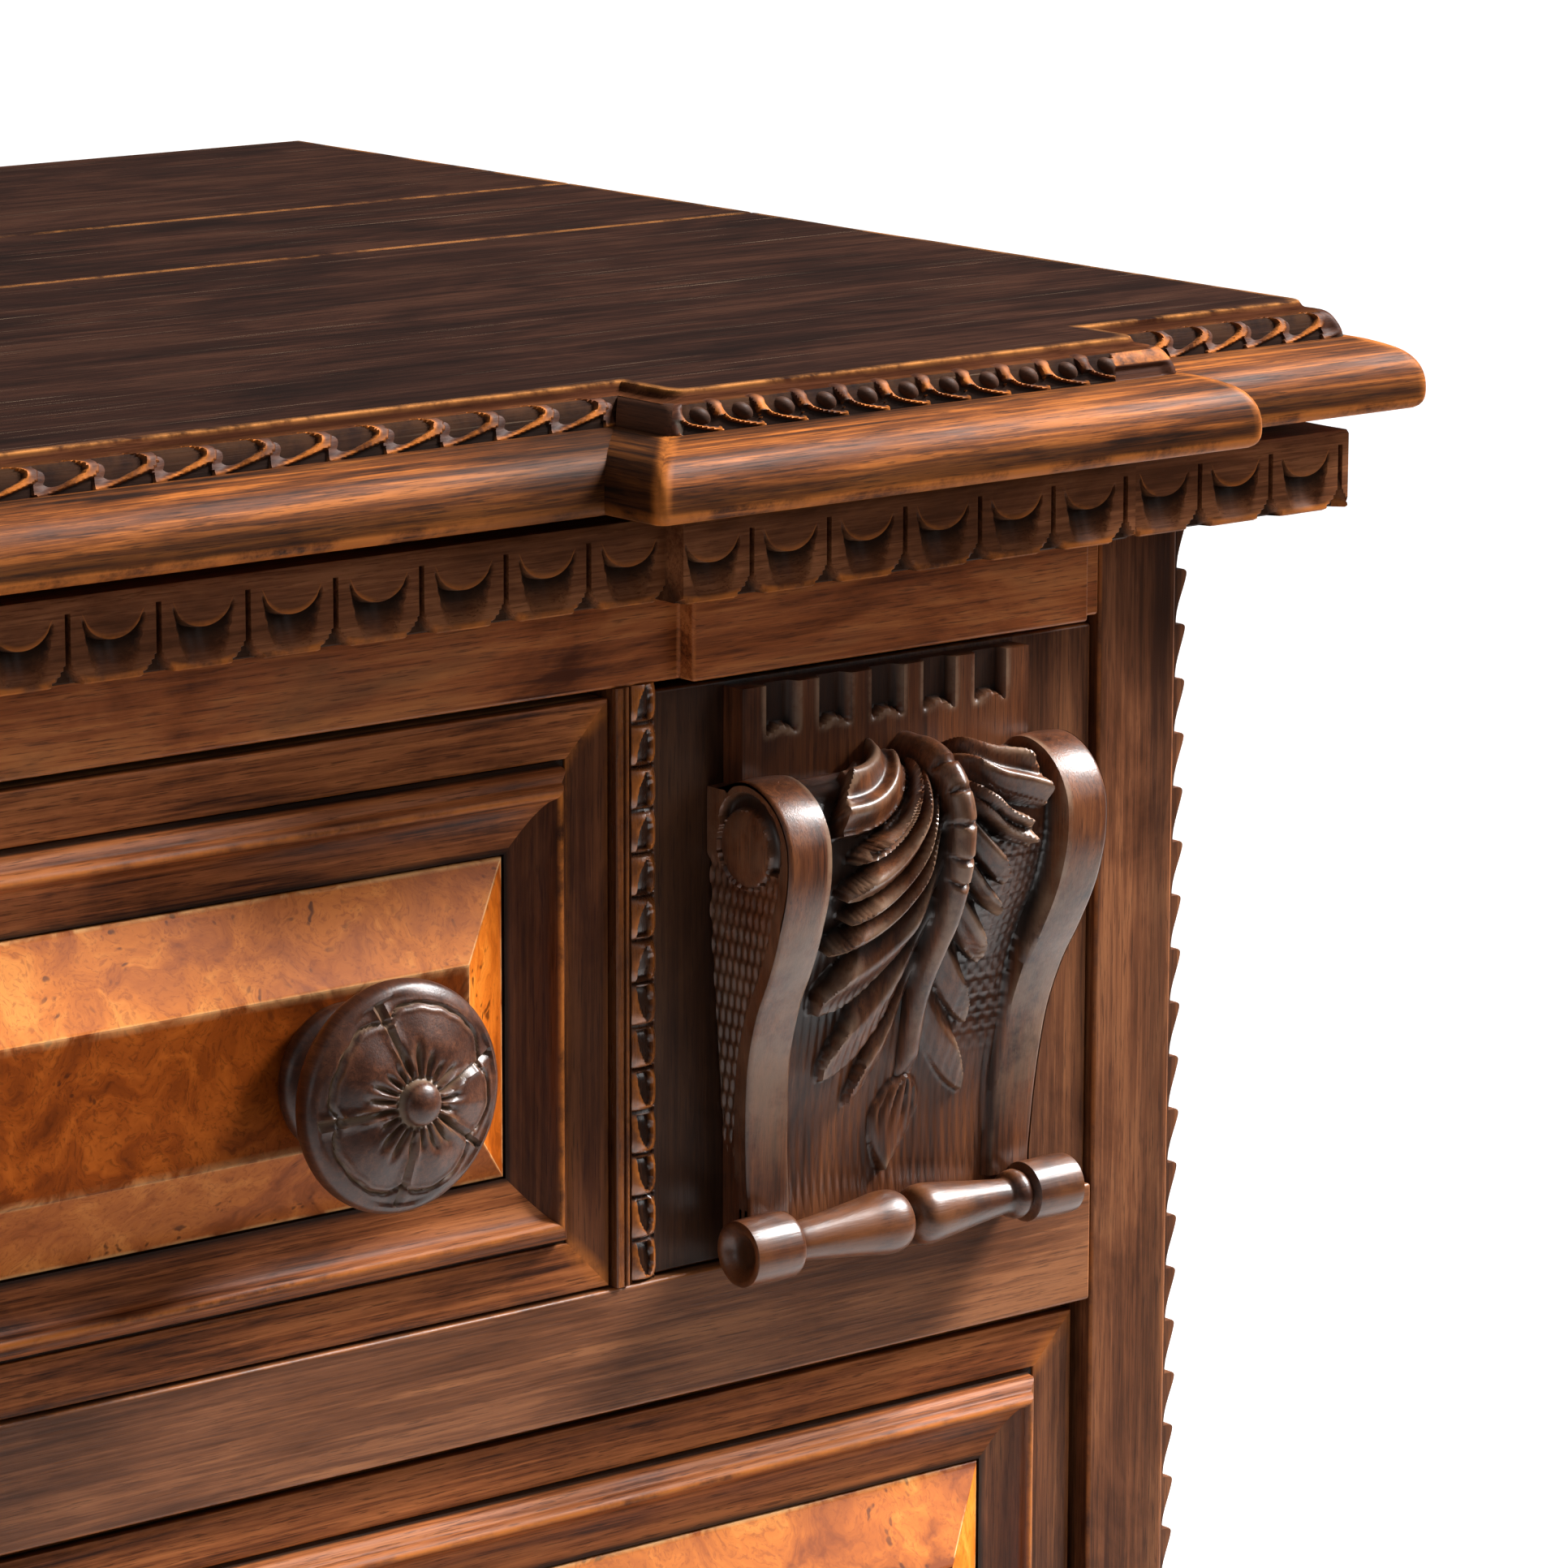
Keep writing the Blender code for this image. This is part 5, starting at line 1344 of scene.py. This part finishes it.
def scroll_side(y, z, inward):
    """Cut into the side of a scroll: a crescent round its eye and a rough sunk face below it."""
    away = np.hypot(y - EYE[0], z - EYE[1]) - EYE_RADIUS
    turn = np.arctan2(z - EYE[1], y - EYE[0])
    wide, centre, reach = CRESCENT
    wide = wide * np.sqrt(np.clip(np.cos(0.5 * math.pi * np.clip((turn - centre) / reach, -1, 1)), 1e-4, 1))
    crescent = dome(2 * away / wide - 1)
    sunk = ease_mm(away, 0.2, 1.0) * ease(z, EYE[1] - 3 * MM, EYE[1] - 7 * MM)
    sunk = sunk * ease_mm(inward, 5.0, 6.0)
    pits = np.sin(y / SCORE_PITCH + 3.0 * np.floor(z / PIT_ROW))
    pits = pits * np.abs(np.sin(z * math.pi / PIT_ROW)) ** 0.5
    eye = EYE_HEIGHT * (dome(1 + away / EYE_RADIUS) - 1) * (away < 0)
    return eye - CRESCENT_DEPTH * crescent * (sunk < 0.5) - (SUNK_DEPTH + PIT_DEPTH * pits) * sunk


def make_scroll(skin, middle, sign):
    line = spline(SCROLL_LINE, SCROLL_ROWS)
    down = np.concatenate(((0.0,), np.cumsum(np.linalg.norm(np.diff(line, axis=0), axis=1))))
    normal = line_normals(line)
    normal *= np.sign(normal[SCROLL_ROWS // 2, 0])
    share = np.clip((line[:, 1] - FOOT_LEVEL) / (HEAD_LEVEL - FOOT_LEVEL), 0, 1)
    half = (FOOT_HALF + share * (HEAD_HALF - FOOT_HALF))[:, None]
    across = np.linspace(-1, 1, SCROLL_COLUMNS)[None, :]
    x = across * half
    relief = scroll_front(x, down[:, None], half)
    round_off = np.clip(1 - (half - np.abs(x)) / SCROLL_ARRIS, 0, 1)
    relief -= SCROLL_ARRIS * (1 - np.sqrt(1 - 0.96 * round_off ** 2))
    front_y = line[:, :1] + normal[:, :1] * relief
    front_y = np.maximum(front_y, PLATE_FRONT - 0.4 * MM)
    front_z = line[:, 1:] + normal[:, 1:] * relief
    peak = int(np.argmax(line[:, 0]))
    spine = line[:, 1].copy()
    spine[:peak] = np.linspace(line[0, 1], line[peak, 1], peak)
    back = np.linspace(0, 1, SCROLL_SIDE)[None, 1:]
    deep = PLATE_FRONT - 1.0 * MM
    deep = deep + (BAY_FACE - deep) * ease(half, PLATE_HALF + 0.3 * MM, PLATE_HALF + 1.5 * MM)
    side_y = line[:, :1] + (deep - line[:, :1]) * back
    side_z = line[:, 1:] + (spine[:, None] - line[:, 1:]) * back
    reach = np.hypot(side_y - line[:, :1], side_z - line[:, 1:])
    cut = scroll_side(side_y, side_z, reach)
    side_x = half + cut
    across = np.hstack((x, side_x, -side_x[:, ::-1]))
    out = np.hstack((front_y, side_y, side_y[:, ::-1]))
    up = np.hstack((front_z, side_z, side_z[:, ::-1]))
    wear_and_painted_light, dirt_and_painted_shade = marks(relief, 4, 1.5 * MM, 1.9 * MM)
    # Painted shade: the sunk field darkens with depth, more on its left than among the bricks on its right
    hollow = ease_mm(relief, -1.6, -5.0) * (0.9 - 0.6 * ease_mm(x, 18, 30))
    # Painted shade in the narrow cuts between the leaf's fingers
    crease = 0.85 * marks(relief, 2, 1.0 * MM, 0.8 * MM)[1]
    # Painted reflection of the pale floor on the bands' lower halves, in the pale rubbed tone, with some
    # dust
    dust = 0.6 * ease_mm(down, 42, 72) * ease_mm(down, 150, 108)
    bands = np.abs(x) > BAND_INNER - (HEAD_HALF - half)
    sides = np.hstack((cut, cut[:, ::-1]))
    # Painted light on the scroll's sides, and the painted reflection on its bands
    wear_and_painted_light = np.hstack((np.maximum(wear_and_painted_light, dust[:, None] * bands), np.full(sides.shape, SIDE_PAINTED_LIGHT)))
    # Painted shade in the crescent round each eye, and in the cuts of the field and leaf
    dirt_and_painted_shade = np.hstack((np.maximum(np.maximum(dirt_and_painted_shade, crease), hollow), 0.9 * ease_mm(-sides, 0.8, 2.8)))
    skin.tube(placed(middle + sign * across, FRONT - out, RAIL_TOP + up), wear_and_painted_light, dirt_and_painted_shade)


def make_roll(skin, middle, sign):
    line = spline(ROLL_LINE, ROLL_POINTS)
    angle = np.linspace(0, 2 * math.pi, ROLL_ROUND, endpoint=False)
    radius = line[:, 1:]
    rings = placed(middle + sign * line[:, :1], FRONT - ROLL_MIDDLE[0] + radius * np.cos(angle),
                   RAIL_TOP + ROLL_MIDDLE[1] + radius * np.sin(angle))
    skin.tube(rings, ROLL_WEAR, ROLL_DIRT * ease_mm(radius, 6.0, 4.0), finish=1)


FLUTES = 5
FLUTE_LENGTH = 15.0 * MM
FLUTE_DEPTH = 3.6 * MM
FLUTE_SPOON = 3.0 * MM
PLATE_LEVELS = (100 * MM, 128 * MM)      # over the rail: end of the plain face, start of the flutes' rows
PLATE_ROWS = 46
PLATE_COLUMNS = 150
CORBEL_SMOOTH = 50.0


def make_plate(skin, middle, low, high):
    """Plate behind a corbel, with flutes that end in spoon shapes above the scroll."""
    plain, fluted = PLATE_LEVELS
    rows = np.linspace(RAIL_TOP + fluted, high.z - 0.4 * MM, PLATE_ROWS)
    z = np.concatenate(((low.z, RAIL_TOP + plain), rows, (high.z,)))
    x = np.linspace(-PLATE_HALF, PLATE_HALF, PLATE_COLUMNS)
    pitch = 2 * PLATE_HALF / (FLUTES + 0.5)
    step = x / pitch
    off = (step - np.round(step)) * pitch
    half = 0.31 * pitch
    inside = (np.abs(x) < FLUTES / 2 * pitch) & (np.abs(off) < half)
    end = high.z - FLUTE_LENGTH + FLUTE_SPOON * np.clip(1 - (off / half) ** 2, 0, 1)
    flat = ease(np.abs(off), half, 0.72 * half) * inside
    relief = -FLUTE_DEPTH * flat * ease(z[:, None] - end, 0.0, 0.7 * MM)
    y = np.concatenate((PLATE_FRONT + relief, np.full((len(z), 2), FRONT - high.y)), axis=1)
    columns = np.concatenate((x, (PLATE_HALF, -PLATE_HALF)))
    rings = placed(middle + columns, FRONT - y, z[:, None])
    wear_and_painted_light, dirt_and_painted_shade = marks(relief, 3, 0.4 * MM, 1.4 * MM)
    dirt_and_painted_shade = np.maximum(dirt_and_painted_shade, 0.8 * ease_mm(-relief, 0.6, 2.4))
    skin.tube(rings, wear_and_painted_light, dirt_and_painted_shade)


def make_corbel(drawer, sign):
    node = f"{drawer}_corbel"
    low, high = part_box(node)
    middle = (low.x + high.x) / 2
    skin = Skin()
    make_plate(skin, middle, low, high)
    make_scroll(skin, middle, sign)
    make_roll(skin, middle, sign)
    skin.piece(f"{node}_carved", drawer, [node], "walnut", [CORBEL_FINISH, ROLL_FINISH], CORBEL_SMOOTH)


for side, sign in SIDES:
    make_partition(side, sign)
    make_corbel(f"corner_drawer_{side}", sign)


# Saw-toothed strips: share of the pitch upwards and of the reach outwards
TOOTH_PITCH = 16.0 * MM
TOOTH = np.array(((0.0, 0.10), (0.12, 0.12), (0.25, 0.18), (0.4, 0.31), (0.55, 0.48), (0.68, 0.63),
                  (0.8, 0.76), (0.88, 0.83), (0.93, 0.85), (0.965, 0.81), (0.99, 0.70), (1.0, 0.52)))
TOOTH_ARRIS = (0.6 * MM, 0.93)      # width of the rounding, and share of the reach that it leaves
TOOTH_SMOOTH = 50.0


def make_teeth(side, sign):
    node = f"tooth_strip_{side}"
    low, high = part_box(node)
    count = int((high.z - low.z) / TOOTH_PITCH + 0.001)
    pitch = (high.z - low.z) / count
    up = (np.arange(count)[:, None] + TOOTH[:, 0]).ravel() * pitch
    out = np.tile(TOOTH[:, 1], count) * (1 + uneven(up[:, None], "teeth")) / (1 + UNEVEN["teeth"][0])
    up = low.z + np.concatenate(((0.0,), up, (count * pitch,)))
    out = np.concatenate(((0.0,), out, (0.0,))) * (high.x - low.x)
    face = low.x if sign > 0 else high.x
    wide, left = TOOTH_ARRIS
    y = np.array((low.y, low.y + wide, high.y - wide, high.y))
    share = np.array((left, 1.0, 1.0, left))
    rings = placed(face + sign * share[:, None] * out, y[:, None], up)
    reach = out / (high.x - low.x)
    skin = Skin().tube(rings, 0.25 * (reach > 0.9), 0.5 * (reach < 0.2))
    skin.piece(f"{node}_carved", "chest", [node], "walnut", [WALNUT], TOOTH_SMOOTH)


for side, sign in SIDES:
    make_teeth(side, sign)


# Plain boards, feet and drawer boxes

# Darkening at places outwards from the middle of a corbel (dirtiness and the corbel's painted shadow), and
# inwards from the outer face of a side
BAY_PLACES = np.array((-82.0, -70.0, -60.0, -50.0, 55.0, 75.0)) * MM
BAY_DIRT_AND_SHADOW = (0.75, 0.8, 0.85, 0.9, 0.4, 0.2)
STILE_PLACES = np.array((1.2, 3.0, 7.0, 13.0)) * MM
STILE_DARKENING = (0.0, 0.4, 0.35, 0.0)
# Rounding of arrises
CASE_ARRIS = 1.1 * MM
BAY_ARRIS = 1.0 * MM
BOX_ARRIS = 0.8 * MM
FOOT_ARRIS = 0.5 * MM

worn_board("fascia", "chest", RED_WALNUT, CASE_ARRIS)
for node in ("rail_upper", "rail_lower", "bottom_board", "plinth"):
    worn_board(node, "chest", RAIL_WALNUT, CASE_ARRIS)
for node, axis in (("back_panel", "Z"), ("dust_board_lower", "X"), ("dust_board_upper", "X")):
    worn_board(node, "chest", SECONDARY[axis], BOX_ARRIS)
for node in ("foot_front_left", "foot_front_right", "foot_back_left", "foot_back_right"):
    worn_board(node, "chest", FOOT_WALNUT, FOOT_ARRIS)
for drawer in ("top_drawer", "middle_drawer", "lower_drawer", "corner_drawer_left", "corner_drawer_right"):
    for part, axis in (("side_left", "Y"), ("side_right", "Y"), ("back", "X"), ("bottom", "X")):
        worn_board(f"{drawer}_{part}", drawer, SECONDARY[axis], BOX_ARRIS)
for side, sign in SIDES:
    outer = sign * SIDE_HIGH.x
    # The side's front darkens a few millimetres in from its outer face
    worn_board(f"side_{side}", "chest", SIDE_WALNUT, CASE_ARRIS, outer - sign * STILE_PLACES,
               lambda x: float(np.interp(sign * (outer - x), STILE_PLACES, STILE_DARKENING)))
    middle = sum(corner.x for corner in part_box(f"corner_drawer_{side}_corbel")) / 2
    # Painted shadow of the corbel on the bay's board, with real dirtiness, darkest beside the corbel on its
    # inner side
    worn_board(f"corner_drawer_{side}_front", f"corner_drawer_{side}", WALNUT, BAY_ARRIS,
               middle + sign * BAY_PLACES,
               lambda x: float(np.interp(sign * (x - middle), BAY_PLACES, BAY_DIRT_AND_SHADOW)))


# Stage, light and camera

FLOOR_REACH = 40.0
FLOOR_WHITE = (0.0, 0.6)       # behind the chest's middle, where the floor turns to plain white
FLOOR_DARK = (1.95, 2.15)      # from the chest's middle, where the pale floor in front of it ends
FLOOR_FRONT = (-0.2, -0.8)     # where in front of the middle that dark floor starts
FLOOR_TONES = (srgb(190, 190, 190), srgb(200, 200, 200))
FLOOR_DARK_TONE = srgb(58, 54, 50)
FLOOR_DULL = (0.6, 0.8)
PAPER = (3.0, 3.0, 3.0)
WHITE = (1.0, 1.0, 1.0, 1.0)
SKY_LEVELS = ((0.0, 0.05), (0.3, 0.12), (1.0, 0.55))   # height of a direction, and light from there


def make_floor():
    """A pale floor that shows as plain white behind the chest."""
    mesh = bpy.data.meshes.new("floor")
    corners = [(x * FLOOR_REACH, y * FLOOR_REACH, 0.0) for x, y in ((-1, -1), (1, -1), (1, 1), (-1, 1))]
    mesh.from_pydata(corners, [], [(0, 1, 2, 3)])
    floor = bpy.data.objects.new("floor", mesh)
    bpy.context.scene.collection.objects.link(floor)
    pale = Finish("pale_floor")
    paper = pale.noise(PAPER, 3.0)
    rays = pale.node("ShaderNodeLightPath").outputs
    seen = pale.maths("MAXIMUM", rays["Is Camera Ray"], rays["Is Glossy Ray"])
    seen = pale.maths("MAXIMUM", seen, rays["Is Transmission Ray"])
    depth = pale.node("ShaderNodeSeparateXYZ", {0: pale.place}).outputs["Y"]
    behind = pale.span(depth, *FLOOR_WHITE)
    away = pale.node("ShaderNodeVectorMath", {0: pale.place}, operation="LENGTH").outputs["Value"]
    far = pale.maths("MULTIPLY", pale.span(away, *FLOOR_DARK), pale.span(depth, *FLOOR_FRONT))
    near = pale.maths("SUBTRACT", 1.0, far)
    mirrored_light = pale.maths("MULTIPLY", rays["Is Glossy Ray"], near)
    beyond = pale.maths("MULTIPLY", rays["Is Camera Ray"], far)
    glow = pale.maths("MAXIMUM", mirrored_light, beyond)
    glow = pale.maths("MAXIMUM", pale.maths("MULTIPLY", seen, behind), glow)
    pale.put(pale.shader.inputs["Emission Color"], WHITE)
    pale.put(pale.shader.inputs["Emission Strength"], glow)
    colour = pale.mix(near, FLOOR_DARK_TONE, pale.mix(paper, *FLOOR_TONES))
    mesh.materials.append(pale.done(colour, pale.span(paper, 0.3, 0.7, *FLOOR_DULL)))


def make_world():
    """Studio air: soft light from overhead, dim towards the horizon."""
    world = bpy.data.worlds.new("studio")
    world.use_nodes = True
    tree = world.node_tree
    place = tree.nodes.new("ShaderNodeTexCoord")
    height = tree.nodes.new("ShaderNodeSeparateXYZ")
    levels = tree.nodes.new("ShaderNodeValToRGB")
    tree.links.new(place.outputs["Generated"], height.inputs[0])
    tree.links.new(height.outputs["Z"], levels.inputs["Fac"])
    tree.links.new(levels.outputs["Color"], tree.nodes["Background"].inputs["Color"])
    stops = levels.color_ramp.elements
    while len(stops) < len(SKY_LEVELS):
        stops.new(1.0)
    for stop, (position, level) in zip(stops, SKY_LEVELS):
        stop.position = position
        stop.color = (level, level, level, 1.0)
    bpy.context.scene.world = world


# Lamps: place, aim, size, watts and spread in degrees
LAMPS = {"key": ((3.25, -1.2, 3.5), (0.35, -0.25, 0.72), (1.3, 1.3), 95.0, 70.0),
         "softbox": ((2.7, -2.45, 2.2), (0.4, -0.25, 0.72), (1.5, 1.6), 26.0, 180.0),
         "fill": ((-3.6, -1.3, 1.4), (0.2, -0.2, 0.7), (1.8, 1.8), 4.0, 90.0)}


def make_lamp(name, place, target, size, power, cone):
    light = bpy.data.lights.new(name, "AREA")
    light.shape = "RECTANGLE"
    light.size, light.size_y = size
    light.energy = power
    light.spread = math.radians(cone)
    made = bpy.data.objects.new(name, light)
    made.location = place
    made.rotation_euler = (Vector(target) - Vector(place)).to_track_quat("-Z", "Y").to_euler()
    bpy.context.scene.collection.objects.link(made)


CAMERA_PLACE = (-0.68818, -1.65627, 1.21795)
CAMERA_YAW = 39.385        # degrees to the right of straight at the front
CAMERA_PITCH = 12.025      # degrees down
CAMERA_ROLL = 0.189
CAMERA_LENS = 156.76
SENSOR = 36.0


def make_camera():
    data = bpy.data.cameras.new("camera")
    data.lens = CAMERA_LENS
    data.sensor_width = SENSOR
    made = bpy.data.objects.new("camera", data)
    aim = Matrix.Rotation(math.radians(-CAMERA_YAW), 4, "Z")
    tilt = Matrix.Rotation(math.radians(90 - CAMERA_PITCH), 4, "X")
    roll = Matrix.Rotation(math.radians(CAMERA_ROLL), 4, "Z")
    made.matrix_world = Matrix.Translation(CAMERA_PLACE) @ aim @ tilt @ roll
    bpy.context.scene.collection.objects.link(made)
    bpy.context.scene.camera = made


make_floor()
make_world()
make_camera()
for name, values in LAMPS.items():
    make_lamp(name, *values)
bpy.context.scene.view_settings.view_transform = "Standard"
